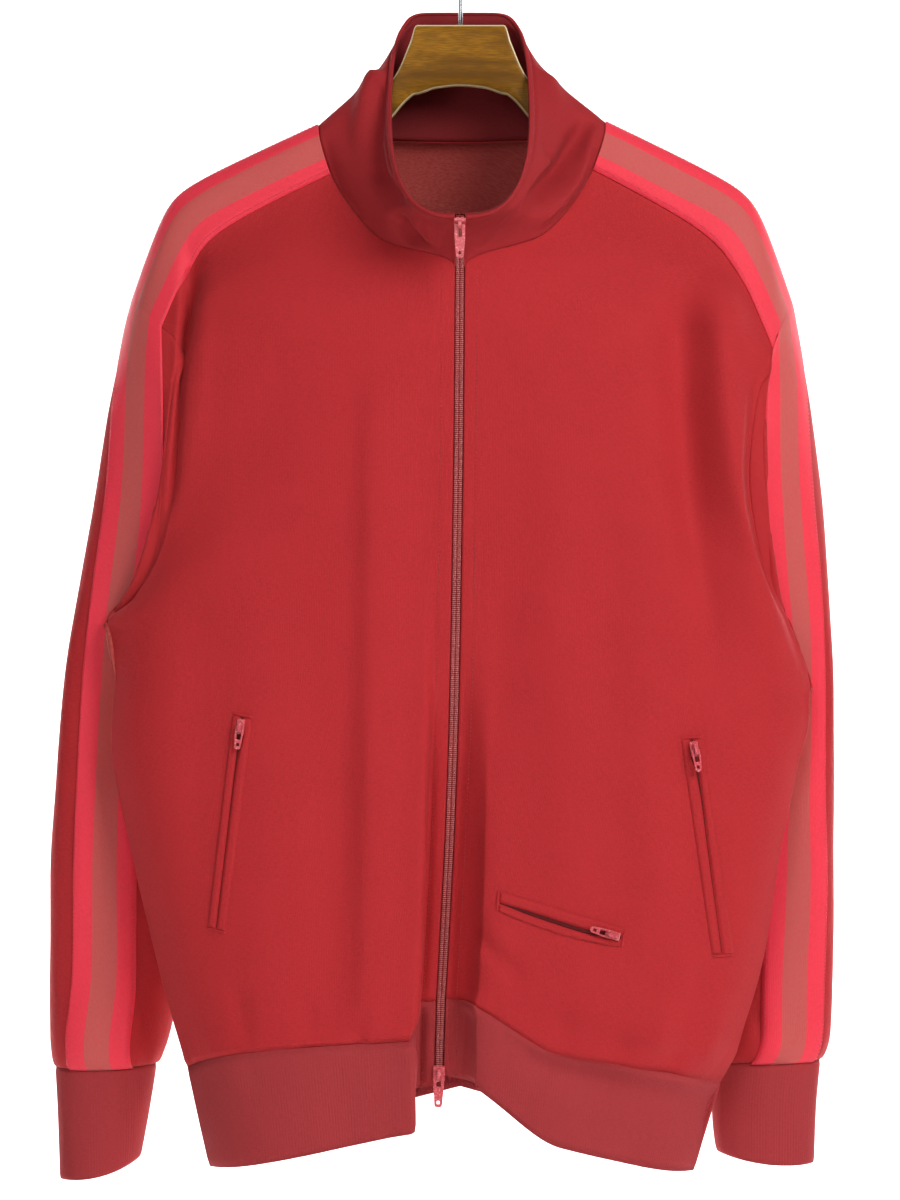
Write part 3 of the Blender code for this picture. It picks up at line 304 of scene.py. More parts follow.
# Sleeves: four lines down each, at its outer edge, its front, its inner edge and its back, then how far round from
# the outer line the braid starts, and its width along the ring where it is more than the braid's own
SLEEVE_LEFT = (
    # outer            front                inner                back                 braid
    ((-233, 4, -328), (-195, -39, -358), (-239, -13, -496), (-204, 48, -405), 12, 53),
    ((-244, 7, -392), (-196, -30, -424), (-237, -5, -486), (-210, 52, -455), 17, 66),
    ((-255, 8, -455), (-212, -14, -478), (-236, 5, -492), (-214, 56, -495), 18, 56),
    ((-265, 6, -520), (-225, -6, -534), (-203.8, 19.7, -548.6), (-212, 57, -550), 22, 46),
    ((-270.5, 8, -590), (-230, -8, -602), (-178.1, 37.6, -631.9), (-212, 55, -612), 28),
    ((-275.5, 13, -655), (-229, -4, -663), (-178, 38, -687), (-220, 53, -669), 28),
    ((-276.5, 18, -718), (-233, 0, -723), (-190, 34, -735), (-229, 50, -726), 26),
    ((-277, 22, -764), (-238, -2, -767), (-198, 28, -769), (-238, 52, -768), 24),
    ((-273.5, 24, -784), (-239, 3, -784), (-205, 28, -782), (-239, 48, -784), 21),
)
SLEEVE_RIGHT = (
    ((234, 4, -335), (200, -43, -364), (240, -22, -537), (206, 48, -415), 15, 53),
    ((243, 7, -404), (199, -33, -450), (235, -8, -528), (211, 52, -475), 17, 60),
    ((247.7, 8, -475), (215, -15, -511), (231, 3, -529), (209, 56, -525), 16, 50),
    ((249.7, 6, -540), (219, -7, -570), (204.01, 19.57, -590.28), (204, 57, -588), 18, 46),
    ((250.5, 8, -595), (208, -7, -622.0), (172.02, 35.99, -645.77), (201, 55, -634), 18),
    ((251, 11, -660), (205, -4, -673), (155, 39, -700), (203, 53, -677), 15),
    ((251, 15, -718), (206, 0, -725), (160, 35, -737), (207, 50, -727), 14),
    ((250, 20, -760), (208, -2, -763), (166, 30, -765), (209, 52, -765), 16),
    ((243, 22, -779), (207, 3, -780), (172, 28, -781), (207, 48, -780), 14),
)
# Under the arm the first ring follows the armhole: over how many columns each way, and how far out, back and up
SLEEVE_UNDERARM = {LEFT: (11.2 * FINE, (-1.2, 8, -2.5)), RIGHT: (10.2 * FINE, (-1.2, 8, -2.5))}
SLEEVE_STEPS, CUFF_STEPS = FINE * np.array([2, 2, 2, 2, 2, 1, 1, 1, 1]), (2 * FINE, 2 * FINE)
CUFF_LEFT = (
    ((-271.5, 24, -822), (-240, 4, -818), (-210, 29, -813), (-240, 49, -818)),
    ((-270.5, 25, -859), (-241, 4, -856), (-216, 30, -845), (-242, 50, -856)),
)
CUFF_RIGHT = (
    ((240, 24, -815), (205, 4, -815), (170, 28, -812), (205, 49, -815)),
    ((239, 25, -848), (206, 4, -848), (173, 29, -841), (206, 50, -848)),
)

# The collar's top edge is a tilted loop, from the back to the front at the zip
RIM_BACK, RIM_FRONT = (0, 35, -71), (-0.6, -106, -221)
RIM_HALF_WIDTH = 46.0
RIM_AT_ROWS = (math.pi, 2.5, 1.7, 1.12, 1.0)  # place on the loop over each row of the neckline, rad
RIM_SQUARE = (0.25, 0.38)  # power of the sine for its width, and what is added to it towards the front
SQUARE_COMES, GAP_COMES = (1.0, 2.6), (2, math.pi)  # rad on the loop over which that comes in, and the zip's gap
BULGE_COMES, REAR_GOES = (1.6, math.pi), (0.2, 1.2)  # and over which the front's bulge comes in and the rear's goes
COLLAR_STEPS, COLLAR_CLOSER = 38, 1.35  # grid rows, and the power that brings them together towards the rim
COLLAR_BULGE = (0, 18, 9.5), (0, 5, 0)  # how its middle stands off the straight, in front and behind


# %% Curves
def through(knots, steps):
    """A smooth row of points through the knots, steps[i] of them between knots i and i + 1.

    Each coordinate is a cubic from knot to knot whose slope at a knot is the harmonic mean of the rises on
    its two sides, and level where they change sign, so that it never swings past a knot.
    """
    knots = np.asarray(knots, float)
    rise = np.diff(knots, axis=0)
    before, after = rise[:-1], rise[1:]
    same = before * after > 0
    slope = np.zeros_like(knots)
    slope[1:-1] = np.where(same, 2 * before * after / np.where(same, before + after, 1), 0)
    for end, near, next_on in ((0, rise[0], rise[min(1, len(rise) - 1)]), (-1, rise[-1], rise[-2 % len(rise)])):
        start = (3 * near - next_on) / 2
        start = np.where(start * near <= 0, 0, start)
        slope[end] = np.clip(start, -3 * abs(near), 3 * abs(near))
    rows = []
    for i, count in enumerate(steps):
        t = (np.arange(count) / count).reshape((-1,) + (1,) * (knots.ndim - 1))
        rows.append(
            (1 + 2 * t) * (1 - t) ** 2 * knots[i]
            + t * (1 - t) ** 2 * slope[i]
            + t * t * (3 - 2 * t) * knots[i + 1]
            - t * t * (1 - t) * slope[i + 1]
        )
    return np.concatenate(rows + [knots[-1:]])


def bend(start, corner, end, u, roundness=0.75):
    """Points of a curve from start to end by way of the corner: a hyperbola, sharper as roundness falls."""
    u = np.asarray(u, float)[:, None]
    rise = lambda x: (x + np.sqrt(x * x + roundness**2)) / 2
    share = lambda x: (rise(2 * x - 1) - rise(-1.0)) / (rise(1.0) - rise(-1.0))
    start, corner, end = (np.array(p, float) for p in (start, corner, end))
    return corner + (start - corner) * share(1 - u) + (end - corner) * share(u)


def ease(low, high, x):
    """0 below low, 1 above high, with a soft S between."""
    t = np.clip((x - low) / (high - low), 0, 1)
    return t * t * (3 - 2 * t)


def unit(v):
    """The vector over its length."""
    return v / np.maximum(np.linalg.norm(v, axis=-1, keepdims=True), 1e-9)


def arc(grid, axis=0):
    """Distance along the rows (axis 1) or the columns (axis 0) of a grid, from the first point."""
    step = np.linalg.norm(np.diff(grid, axis=axis), axis=-1)
    return np.concatenate([np.zeros_like(step.take([0], axis)), np.cumsum(step, axis)], axis)


def closing(grid, closed=True):
    """The grid with its first column once more at the end, where it closes round."""
    return np.concatenate([grid, grid[:, :1]], axis=1) if closed else grid


# %% Rows of the fronts and the back
def pull_to_zip(row, back, up, side):
    """The row moved by the zip: it lies in a narrow dip, with a sharp fold on the left and a soft rise on the right."""
    away = abs(row[:, 0] - row[0, 0]) + ZIP_EDGE
    if side == LEFT:
        dip = lift = 1 - ease(*FOLD_LEFT, away)
    else:
        dip = 1 - ease(*DIP_RIGHT, away)
        lift = 1 - ease(*LIFT_RIGHT, away)
    return row + np.stack([0 * away, back * dip, up * lift], axis=1)


def bend_row(row):
    """One table row of a front as grid points."""
    return bend(*row[:3], FRONT_COLUMNS, *row[3:])


def front_grid(table, side):
    """One front, rows from the hem seam to the shoulder seam, columns from the zip to the side."""
    rows = [bend_row(row) for row in table]
    for i, (back, up) in enumerate(ZIP_PULL):
        rows[i] = pull_to_zip(rows[i], back, up, side)
    return through(rows, ROW_STEPS)


def back_half(side, fronts, corner_at, armhole_at, side_seam):
    """Half of the back, columns from centre back to the side."""
    front = fronts[side]
    ends = [row[armhole_at] or front[i][2] for i, row in enumerate(BACK)]
    rows = [bend(row[0], row[corner_at], end, BACK_COLUMNS) for row, end in zip(BACK, ends)]
    corner = (side * NECK_CORNER_BACK[0], *NECK_CORNER_BACK[1:])
    neckline = bend(NECK_CENTRE_BACK, corner, front[SHOULDER][0], np.linspace(0, 1, NECK_COLUMNS, endpoint=False))
    seam = np.concatenate([neckline, bend_row(front[SHOULDER])])
    highest = rows[-1]
    for near, behind, up in BACK_SHOULDER:
        rows.append(highest + (seam - highest) * near + np.array([0, behind, up]))
    rows.append(seam)
    grid = through(rows, ROW_STEPS)
    grid[: len(side_seam), -1] = side_seam
    return grid


# %% Rings of the sleeves
HALF_RING = 180  # points on half of a ring before they are spaced


def sleeve_ring(outer, front, inner, back, braid_at, edge_shares, even, wide=TAPE_WIDTH):
    """One ring of a sleeve, as a closed curve through its four points.

    The points are spaced by arc length: first the braid's, over wide mm of the ring from braid_at past the outer
    point, then evenly to the inner point and round the back, or as on the armhole where even is 0.
    """
    outer, front, inner, back = (np.array(p, float) for p in (outer, front, inner, back))
    angle = np.linspace(0, 2 * math.pi, 2 * HALF_RING + 1)[:, None]
    middle = (outer + inner) / 2
    loop = middle + (outer - inner) / 2 * np.cos(angle) + (front - back) / 2 * np.sin(angle)
    loop += ((front + back) / 2 - middle) * np.sin(angle) ** 2
    reach = arc(loop)
    half, whole = reach[HALF_RING], reach[-1]
    shares_front, shares_back = edge_shares
    spread = lambda shares: (1 - even) * shares + even * np.linspace(0, 1, len(shares))
    behind = np.linspace(0, TAPE_ROUND, ROW_STEPS[-1] + 1)
    before = np.linspace(TAPE_ROUND, TAPE_WIDTH, ROW_STEPS[-2] + 1)
    braid = braid_at + np.concatenate([behind, before[1:]]) * wide / TAPE_WIDTH
    to_inner = braid[-1] + (half - braid[-1]) * spread(shares_front)
    to_outer = half + (whole + braid_at - half) * spread(shares_back)
    at = np.concatenate([braid, to_inner[1:], to_outer[1:-1]]) % whole
    return np.stack([np.interp(at, reach, loop[:, i]) for i in range(3)], axis=1)


def edge_shares(armhole, braid_count):
    """How the armhole's points share its length, from the braid to the underarm and on round the back."""
    length = arc(armhole)
    low = (len(armhole) - 1) // 2
    front, back = length[braid_count : low + 1], length[low:]
    return (front - front[0]) / (front[-1] - front[0]), (back - back[0]) / (back[-1] - back[0])


def sleeve_grid(table, front_edge, back_edge, side):
    """One sleeve, rows from the armhole to the cuff seam, columns round it from the outer line by the front."""
    armhole = np.concatenate([front_edge[::-1], back_edge[1:]])
    shares = edge_shares(armhole, BRAID_COLUMNS)
    rings = [armhole[:-1]]
    low = len(front_edge) - 1
    columns, offset = SLEEVE_UNDERARM[side]
    near = 1 - ease(0, columns, abs(np.arange(len(armhole) - 1) - low))
    offset = np.array(offset) * (-side, 1, 1)
    for i, (*points, braid) in enumerate((*row[:4], row[4:]) for row in table):
        ring = sleeve_ring(*points, braid[0], shares, min(1, (i + 1) / 3), *braid[1:])
        if i == 0:
            ring += (armhole[:-1] + offset - ring) * near[:, None]
        rings.append(ring)
    return through(rings, SLEEVE_STEPS), shares


# %% Collar and waistband
def rim_loop(turn, side):
    """A point of the collar's top edge: turn is 0 at centre back and pi at the zip."""
    turn = np.asarray(turn, float)
    share = ((1 - np.cos(turn)) / 2)[:, None]
    middle = np.array(RIM_BACK) * (1 - share) + np.array(RIM_FRONT) * share
    square = RIM_SQUARE[0] + RIM_SQUARE[1] * ease(*SQUARE_COMES, turn)
    wide = RIM_HALF_WIDTH * np.maximum(np.sin(turn), 1e-6) ** square
    wide = np.maximum(wide, ZIP_EDGE * ease(*GAP_COMES, turn))
    return middle + np.stack([side * wide, 0 * wide, 0 * wide], axis=1)


def collar_grid(necklines, back_top):
    """The collar, rows from the neck seam to the rim, columns from the left front round the back."""
    seam, rim = [], []
    turns = through(np.array(RIM_AT_ROWS)[:, None], ROW_STEPS[NECK:])[:, 0]
    for side in (LEFT, RIGHT):
        seam.append(necklines[side])
        rim.append(rim_loop(turns, side))
    behind = np.linspace(turns[-1], 0, NECK_COLUMNS + 1)[1:]
    rim_behind = [rim_loop(behind, LEFT), rim_loop(behind[:-1], RIGHT)[::-1]]
    seam = np.concatenate([seam[0], back_top, seam[1][::-1]])
    rim = np.concatenate([rim[0], *rim_behind, rim[1][::-1]])
    turn = np.concatenate([turns, behind, behind[:-1][::-1], turns[::-1]])
    forward = ease(*BULGE_COMES, turn)[:, None]
    rear = (1 - ease(*REAR_GOES, turn))[:, None]
    corner = (seam + rim) / 2 + forward * np.array(COLLAR_BULGE[0]) + rear * np.array(COLLAR_BULGE[1])
    v = 1 - np.linspace(1, 0, COLLAR_STEPS + 1)[:, None, None] ** COLLAR_CLOSER
    return (1 - v) ** 2 * seam + 2 * v * (1 - v) * corner + v**2 * rim


def band_grid(left, right, back):
    """The waistband, rows from the hem seam down, columns from the left front round the back."""
    low_left = pull_to_zip(bend(*BAND_LEFT, FRONT_COLUMNS), *BAND_PULL, LEFT)
    low_right = pull_to_zip(bend(*BAND_RIGHT, FRONT_COLUMNS), *BAND_PULL, RIGHT)
    centre, left_corner, right_corner = BAND_BACK
    back_left = bend(centre, left_corner, BAND_LEFT[2], BACK_COLUMNS)[::-1]
    back_right = bend(centre, right_corner, BAND_RIGHT[2], BACK_COLUMNS)
    top = np.concatenate([left, back[1:-1], right[::-1]])
    low = np.concatenate([low_left, back_left[1:], back_right[1:-1], low_right[::-1]])
    return through([top, low], [BAND_STEPS])


# %% All the cloth at once
def grids():
    """All the cloth of the skin: name -> (grid, whether it closes round, whether its faces need turning)."""
    tables = {LEFT: FRONT_LEFT, RIGHT: FRONT_RIGHT}
    left, right = (front_grid(table, side) for side, table in tables.items())
    low = sum(ROW_STEPS[:UNDERARM])
    half_left = back_half(LEFT, tables, 1, 2, left[: low + 1, -1])
    half_right = back_half(RIGHT, tables, 3, 4, right[: low + 1, -1])
    back = np.concatenate([half_left[:, ::-1], half_right[:, 1:]], axis=1)
    found = {
        "front_left": (left, False, True),
        "front_right": (right, False, False),
        "back": (back, False, True),
    }
    for name, side, table, cuff, front, half in (
        ("left", LEFT, SLEEVE_LEFT, CUFF_LEFT, left, half_left),
        ("right", RIGHT, SLEEVE_RIGHT, CUFF_RIGHT, right, half_right),
    ):
        sleeve, shares = sleeve_grid(table, front[low:, -1], half[low:, -1], side)
        found["sleeve_" + name] = (sleeve, True, side == LEFT)
        braid_at = table[-1][-1]
        rings = [sleeve[-1]] + [sleeve_ring(*ring, braid_at, shares, 1) for ring in cuff]
        found["cuff_" + name] = (through(rings, CUFF_STEPS), True, side == LEFT)
    neck = sum(ROW_STEPS[:NECK])
    necklines = {LEFT: left[neck:, 0], RIGHT: right[neck:, 0]}
    middle = back.shape[1] // 2
    back_top = back[-1, middle - NECK_COLUMNS + 1 : middle + NECK_COLUMNS]
    found["collar"] = (collar_grid(necklines, back_top), False, True)
    found["waistband"] = (band_grid(left[0], right[0], back[0]), False, False)
    return found


skin = grids()
for name, (grid, _, _) in skin.items():
    print(f"{name}: {grid.shape[0]} x {grid.shape[1]} points")

# %% [markdown]
# ## Normals that seams share
# Each piece is moved along its normals when it is folded. Two pieces that meet at a seam have to move together, so
# points in the same place get one normal, the mean over all the faces round them.

# %% Shared normals
def triangles(grid, closed, turned):
    """Index triples of a grid's faces, each cell split along its shorter diagonal."""
    rows, columns = grid.shape[:2]
    index = closing(np.arange(rows * columns).reshape(rows, columns), closed)
    a, b, c, d = index[:-1, :-1], index[:-1, 1:], index[1:, 1:], index[1:, :-1]
    points = grid.reshape(-1, 3)
    shorter = np.linalg.norm(points[a] - points[c], axis=-1) <= np.linalg.norm(points[b] - points[d], axis=-1)
    one = np.stack([np.stack([a, b, c], -1), np.stack([a, c, d], -1)], axis=2)
    other = np.stack([np.stack([a, b, d], -1), np.stack([b, c, d], -1)], axis=2)
    faces = np.where(shorter[..., None, None], one, other).reshape(-1, 3)
    return faces[:, ::-1] if turned else faces


def shared_normals(found):
    """The outward normal at each grid point, shared by all pieces that meet there.

    It is the mean over the faces, by their corners' angles. Under the arm, where sleeve and side face each
    other, that mean fades, and the direction away from the armhole's middle takes over.
    """
    points, faces, count = [], [], 0
    for grid, closed, turned in found.values():
        points.append(grid.reshape(-1, 3))
        faces.append(triangles(grid, closed, turned) + count)
        count += len(points[-1])
    points, faces = np.concatenate(points), np.concatenate(faces)
    _, place = np.unique(np.round(points, 2), axis=0, return_inverse=True)
    place = place.reshape(-1)
    corners = points[faces]
    across = unit(np.cross(corners[:, 1] - corners[:, 0], corners[:, 2] - corners[:, 0]))
    total, whole = np.zeros((place.max() + 1, 3)), np.zeros(place.max() + 1)
    for corner in range(3):
        here, one, other = (corners[:, (corner + k) % 3] for k in range(3))
        angle = np.arccos(np.clip((unit(one - here) * unit(other - here)).sum(axis=1), -1, 1))
        np.add.at(total, place[faces[:, corner]], across * angle[:, None])
        np.add.at(whole, place[faces[:, corner]], angle)
    mean = (total / whole[:, None])[place]
    start = 0
    for name, (grid, _, _) in found.items():
        if name.startswith("sleeve"):
            armhole = slice(start, start + grid.shape[1])
            faint = 1 - np.linalg.norm(mean[armhole], axis=1, keepdims=True)
            lean = np.zeros_like(total)
            np.add.at(lean, place[armhole], unit(grid[0] - grid[0].mean(axis=0)) * faint)
            mean += lean[place]
        start += grid.shape[0] * grid.shape[1]
    normal = unit(mean)
    out, start = {}, 0
    for name, (grid, _, _) in found.items():
        size = grid.shape[0] * grid.shape[1]
        out[name] = normal[start : start + size].reshape(grid.shape)
        start += size
    return out


# %% [markdown]
# ## Folds
# Cloth that hangs has few folds, and each has a cause: the hanger's tip, the armhole, the zip that is shorter than
# the cloth beside it. Simulation gives folds of its own choosing, so these are placed one by one. Each one is a line
# in the front view with a height, negative for a trough, and a width on each side of it, so that a fold can be
# sharp on one side and soft on the other. Folds on the back and on the inner sides are like those in front.

# %% The table of folds
# For the pieces of a kind, seen from the front or the back. Each row: height in mm, width to the left and right of
# the line going down, how far the cloth leans over in x, in mm, and the line's points as x, z and strength. The
# folds of "all" cross the armhole seam, so the body and the sleeve have them alike.
FRONT, BEHIND = -1, 1  # signs of y
FOLDS = (
    ("body", FRONT, (
        # left front, from the zip outwards
        (5.2, 9, 24, 0, (-56, -300, 0), (-58, -370, 0.8), (-59, -500, 1), (-60, -640, 1), (-62, -745, 0.7)),
        (2.6, 10, 5, 3.0, (-17, -500, 0), (-22, -540, 0.4), (-25, -630, 0.8), (-30, -722, 1), (-32, -745, 1)),
        (-2.6, 16, 12, 0, (-78, -520, 0), (-82, -600, 1), (-86, -680, 1), (-88, -745, 0.4)),
        (-6.0, 3, 9, 0, (-19, -545, 0), (-21, -590, 0.7), (-25, -690, 1), (-28, -745, 1)),
        (2.8, 22, 24, 0, (-124, -430, 0), (-128, -540, 1), (-126, -700, 0.6), (-124, -750, 0)),
        (-1.8, 14, 22, 0, (-172, -400, 0), (-176, -520, 1), (-170, -640, 1), (-160, -745, 0.5)),
        (-1.4, 18, 22, 0, (-118, -255, 0), (-128, -330, 1), (-140, -420, 0.5), (-150, -470, 0)),
    )),
    ("all", FRONT, (
        # the deep fold beside the left armhole, which runs down into the seam
        (-9.0, 3, 9, -3.0, (-180, -228, 0), (-180, -243, 0.6), (-182, -262, 1), (-184, -290, 0.6), (-186, -325, 0)),
        (-9.5, 2, 3.6, -3.5, (-181, -256, 0), (-183, -275, 0.9), (-185, -310, 1), (-187, -345, 0.9),
         (-190.5, -392, 0.7), (-195, -415, 0)),
    )),
    ("body", FRONT, (
        (1.6, 8, 8, 0, (-170, -262, 0), (-170, -300, 1), (-174, -350, 0.8), (-182, -410, 0)),
        # right front: a crest towards the armhole with a steep side to the left, and softer ones nearer the zip
        (-12.0, 16, 12, 0, (146, -248, 0), (147, -290, 0.8), (149, -340, 1), (153, -400, 1), (160, -450, 0.7),
         (166, -500, 0.3), (166, -540, 0)),
        (14.0, 13, 17, 0, (171, -250, 0), (170, -290, 0.8), (172, -335, 1), (180, -395, 1), (192, -450, 0.8),
         (204, -500, 0.3), (206, -540, 0)),
        (4.2, 20, 30, 0, (62, -330, 0), (64, -400, 0.7), (66, -480, 1), (68, -560, 1), (70, -640, 0.6), (74, -700, 0)),
        (2.6, 16, 22, 0, (116, -380, 0), (118, -440, 1), (120, -560, 1), (124, -650, 0.8), (128, -720, 0)),
        (-3.6, 18, 26, 0, (148, -520, 0), (150, -590, 1), (156, -660, 1), (158, -700, 0)),
        (-2.0, 14, 14, 0, (30, -440, 0), (28, -480, 1), (26, -520, 1), (20, -560, 0.5), (16, -600, 0)),
        (-5.0, 6, 10, 0, (16, -560, 0), (11, -600, 0.6), (8, -650, 0.9), (5, -700, 1), (3, -745, 1)),
        (-4.2, 9, 10, 0, (170, -690, 0), (162, -714, 0.8), (152, -742, 1), (142, -768, 1), (134, -790, 0.4)),
        (2.0, 8, 8, 0, (136, -712, 0), (130, -740, 1), (124, -765, 0.4)),
        (-3.6, 4, 9, 0, (2, -672, 0), (6, -684, 0.8), (18, -699, 1), (32, -713, 0.8), (44, -722, 0)),
        (2.0, 6, 7, 0, (12, -680, 0), (26, -694, 1), (42, -706, 0)),
        (9.0, 10, 20, 0, (36, -722, 0), (80, -740, 0.6), (130, -754, 1), (160, -765, 0.8), (172, -772, 0.3)),
        (-1.2, 3, 3, 0, (112, -402, 0), (119, -403, 1), (126, -405, 0)),
        # just above the hem seam, where the band draws the cloth in
        (-2.6, 6, 8, 0, (-150, -716, 0), (-146, -735, 1), (-141, -758, 0.6)),
        (-2.2, 6, 6, 0, (-104, -722, 0), (-100, -742, 1), (-98, -758, 0.6)),
        (-1.8, 5, 5, 0, (-62, -730, 0), (-64, -746, 1), (-66, -757, 0.5)),
        (-2.0, 6, 6, 0, (62, -728, 0), (66, -745, 1), (68, -760, 0.6)),
        (-2.2, 6, 6, 0, (100, -735, 0), (104, -755, 1), (106, -770, 0.6)),
    )),
    ("body", BEHIND, (
        # back: from the shoulder blades down, and above the hem
        (-3.4, 14, 18, 0, (-96, -300, 0), (-100, -380, 1), (-104, -520, 0.8), (-110, -640, 0)),
        (2.6, 16, 16, 0, (-58, -330, 0), (-60, -440, 1), (-62, -600, 0.7), (-64, -700, 0)),
        (-3.0, 18, 14, 0, (92, -290, 0), (98, -390, 1), (102, -540, 0.7), (104, -660, 0)),
        (2.4, 14, 18, 0, (52, -350, 0), (54, -470, 1), (58, -620, 0.6), (60, -710, 0)),
        (-4.2, 9, 12, 0, (-160, -290, 0), (-166, -350, 1), (-176, -420, 0.7), (-190, -470, 0)),
        (-4.2, 12, 9, 0, (164, -290, 0), (170, -360, 1), (180, -430, 0.7), (196, -490, 0)),
        (-2.6, 16, 20, 0, (-4, -240, 0), (-2, -330, 1), (2, -480, 0.6), (4, -600, 0)),
        (-2.4, 7, 8, 0, (-120, -700, 0), (-114, -730, 1), (-110, -758, 0.6)),
        (-2.2, 6, 7, 0, (-52, -700, 0), (-50, -725, 1), (-48, -748, 0.6)),
        (-2.4, 8, 7, 0, (36, -695, 0), (34, -722, 1), (32, -746, 0.6)),
        (-2.4, 8, 7, 0, (118, -705, 0), (116, -735, 1), (112, -764, 0.6)),
    )),
    ("sleeve", FRONT, (
        # left sleeve
        (1.6, 5, 7, 0, (-232, -296, 0), (-236, -345, 1), (-243, -405, 0.6), (-250, -455, 0)),
        (-2.4, 9, 9, 0, (-222, -470, 0), (-228, -520, 0.8), (-232, -590, 1), (-236, -660, 0.5), (-238, -720, 0)),
        (-2.0, 6, 7, 0, (-212, -640, 0), (-214, -690, 1), (-220, -745, 0.4), (-222, -765, 0)),
        (1.8, 7, 7, 0, (-250, -560, 0), (-253, -640, 1), (-255, -720, 0)),
        (-2.4, 5, 6, 0, (-232, -742, 0), (-236, -758, 1), (-240, -772, 0.5)),
    )),
    ("sleeve", BEHIND, (
        (-3.4, 9, 10, 0, (-226, -430, 0), (-232, -520, 1), (-238, -620, 0.7), (-240, -700, 0)),
        (2.4, 8, 9, 0, (-254, -440, 0), (-258, -540, 1), (-260, -650, 0)),
        (-2.6, 6, 6, 0, (-226, -730, 0), (-230, -752, 1), (-232, -772, 0.5)),
    )),
    ("sleeve", FRONT, (
        # right sleeve
        (-2.2, 8, 9, 0, (226, -520, 0), (222, -580, 1), (214, -650, 0.8), (206, -720, 0)),
        (1.8, 7, 8, 0, (240, -560, 0), (238, -640, 1), (234, -730, 0)),
        (-2.2, 5, 6, 0, (196, -735, 0), (200, -752, 1), (203, -768, 0.5)),
        (-2.0, 5, 5, 0, (222, -742, 0), (220, -756, 1), (219, -768, 0.5)),
    )),
    ("sleeve", BEHIND, (
        (-3.4, 9, 10, 0, (222, -450, 0), (222, -540, 1), (214, -640, 0.7), (206, -710, 0)),
        (2.4, 8, 9, 0, (240, -470, 0), (240, -570, 1), (234, -680, 0)),
    )),
    ("collar", FRONT, (
        # collar: it is taller than the neck allows, so it buckles outward at the sides and sinks in front of them
        (6.0, 5, 9, 0, (-54, -112, 0), (-58, -117, 1), (-64, -132, 0.8), (-69, -152, 0.4), (-70, -170, 0)),
        (-9.5, 6, 5, 0, (-51, -120, 0), (-52, -140, 0.7), (-58, -165, 0.8), (-56, -186, 1), (-44, -206, 0.8),
         (-30, -222, 0)),
        (-10.0, 4, 5, 0, (-46, -214, 0), (-38, -224, 1), (-28, -236, 0.9), (-20, -244, 0.3)),
        (3.6, 4, 5, 0, (-50, -206, 0), (-36, -218, 1), (-22, -230, 0.8), (-12, -238, 0)),
        (2.2, 8, 8, 0, (-84, -148, 0), (-80, -172, 1), (-70, -198, 0.8), (-54, -220, 0)),
        (-13.5, 6, 7, 0, (88, -146, 0), (79, -160, 0.8), (68, -184, 1), (54, -200, 0.8), (40, -214, 0)),
        (4.6, 5, 4, 0, (60, -166, 0), (58, -184, 1), (46, -202, 1), (30, -220, 0.9), (16, -234, 0.4)),
        (-5.4, 2.2, 2.4, -1.0, (53, -164, 0), (62, -181, 1), (54, -191, 1), (43, -208, 1), (28, -223, 0.9),
         (15, -237, 0.3)),
        (9.5, 6, 7, -2.0, (95, -150, 0), (87, -168, 0.8), (77, -191, 1), (62, -209, 0.8), (46, -223, 0)),
        (3.0, 6, 6, 0, (56, -104, 0), (60, -122, 1), (66, -140, 0.6), (72, -154, 0)),
    )),
    ("collar", BEHIND, (
        (-2.4, 9, 9, 0, (-30, -90, 0), (-34, -120, 1), (-40, -150, 0)),
        (-2.4, 9, 9, 0, (28, -88, 0), (34, -116, 1), (42, -148, 0)),
    )),
    ("band", FRONT, (
        # waistband: it buckles beside the zip and ripples under its gathered seam
        (-7.0, 8, 10, 0, (-4, -712, 0), (-1, -735, 0.8), (1, -765, 1), (2, -790, 1), (4, -815, 0.7)),
        (2.6, 10, 5, 3.0, (-31, -735, 1), (-33, -764, 1), (-33, -835, 1)),
        (-6.0, 3, 9, 0, (-28, -745, 1), (-29, -835, 1)),
        (-2.6, 22, 16, 0, (80, -745, 0), (86, -765, 0.8), (96, -795, 1), (112, -830, 0.6)),
        (-8.0, 16, 16, 0, (24, -752, 0), (60, -772, 0.8), (110, -790, 1), (150, -803, 1), (165, -808, 0.6)),
        (-2.0, 10, 12, 0, (-140, -765, 0), (-136, -780, 1), (-134, -800, 0)),
        (-1.6, 12, 14, 0, (-76, -768, 0), (-78, -790, 1), (-76, -830, 0.6)),
    )),
    ("band", BEHIND, (
        (-2.2, 16, 16, 0, (-90, -760, 0), (-86, -785, 1), (-84, -830, 0.5)),
        (-2.2, 14, 18, 0, (60, -755, 0), (64, -780, 1), (66, -830, 0.5)),
    )),
)
print("folds:", sum(len(rows) for _, _, rows in FOLDS))


# %% Height of the folds over a grid
def along_line(x, z, line):
    """Signed distance of points from a broken line in the x-z plane, and the line's strength nearest to them.

    For each stretch the foot of the perpendicular is held between its ends; the nearest stretch counts. The sign
    is that of the cross product of the stretch with the way to the point: positive to the right, going down.
    """
    knots = np.array(line, float)
    start, step = knots[:-1], np.diff(knots, axis=0)
    dx, dz = x[..., None] - start[:, 0], z[..., None] - start[:, 1]
    share = np.clip((dx * step[:, 0] + dz * step[:, 1]) / (step[:, 0] ** 2 + step[:, 1] ** 2), 0, 1)
    off_x, off_z = dx - share * step[:, 0], dz - share * step[:, 1]
    away = np.hypot(off_x, off_z)
    best = away.argmin(axis=-1)[..., None]
    pick = lambda a: np.take_along_axis(a, best, -1)[..., 0]
    side = np.sign(pick(off_z * step[:, 0] - off_x * step[:, 1]))
    return pick(away) * np.where(side == 0, 1, side), pick(start[:, 2] + share * step[:, 2])


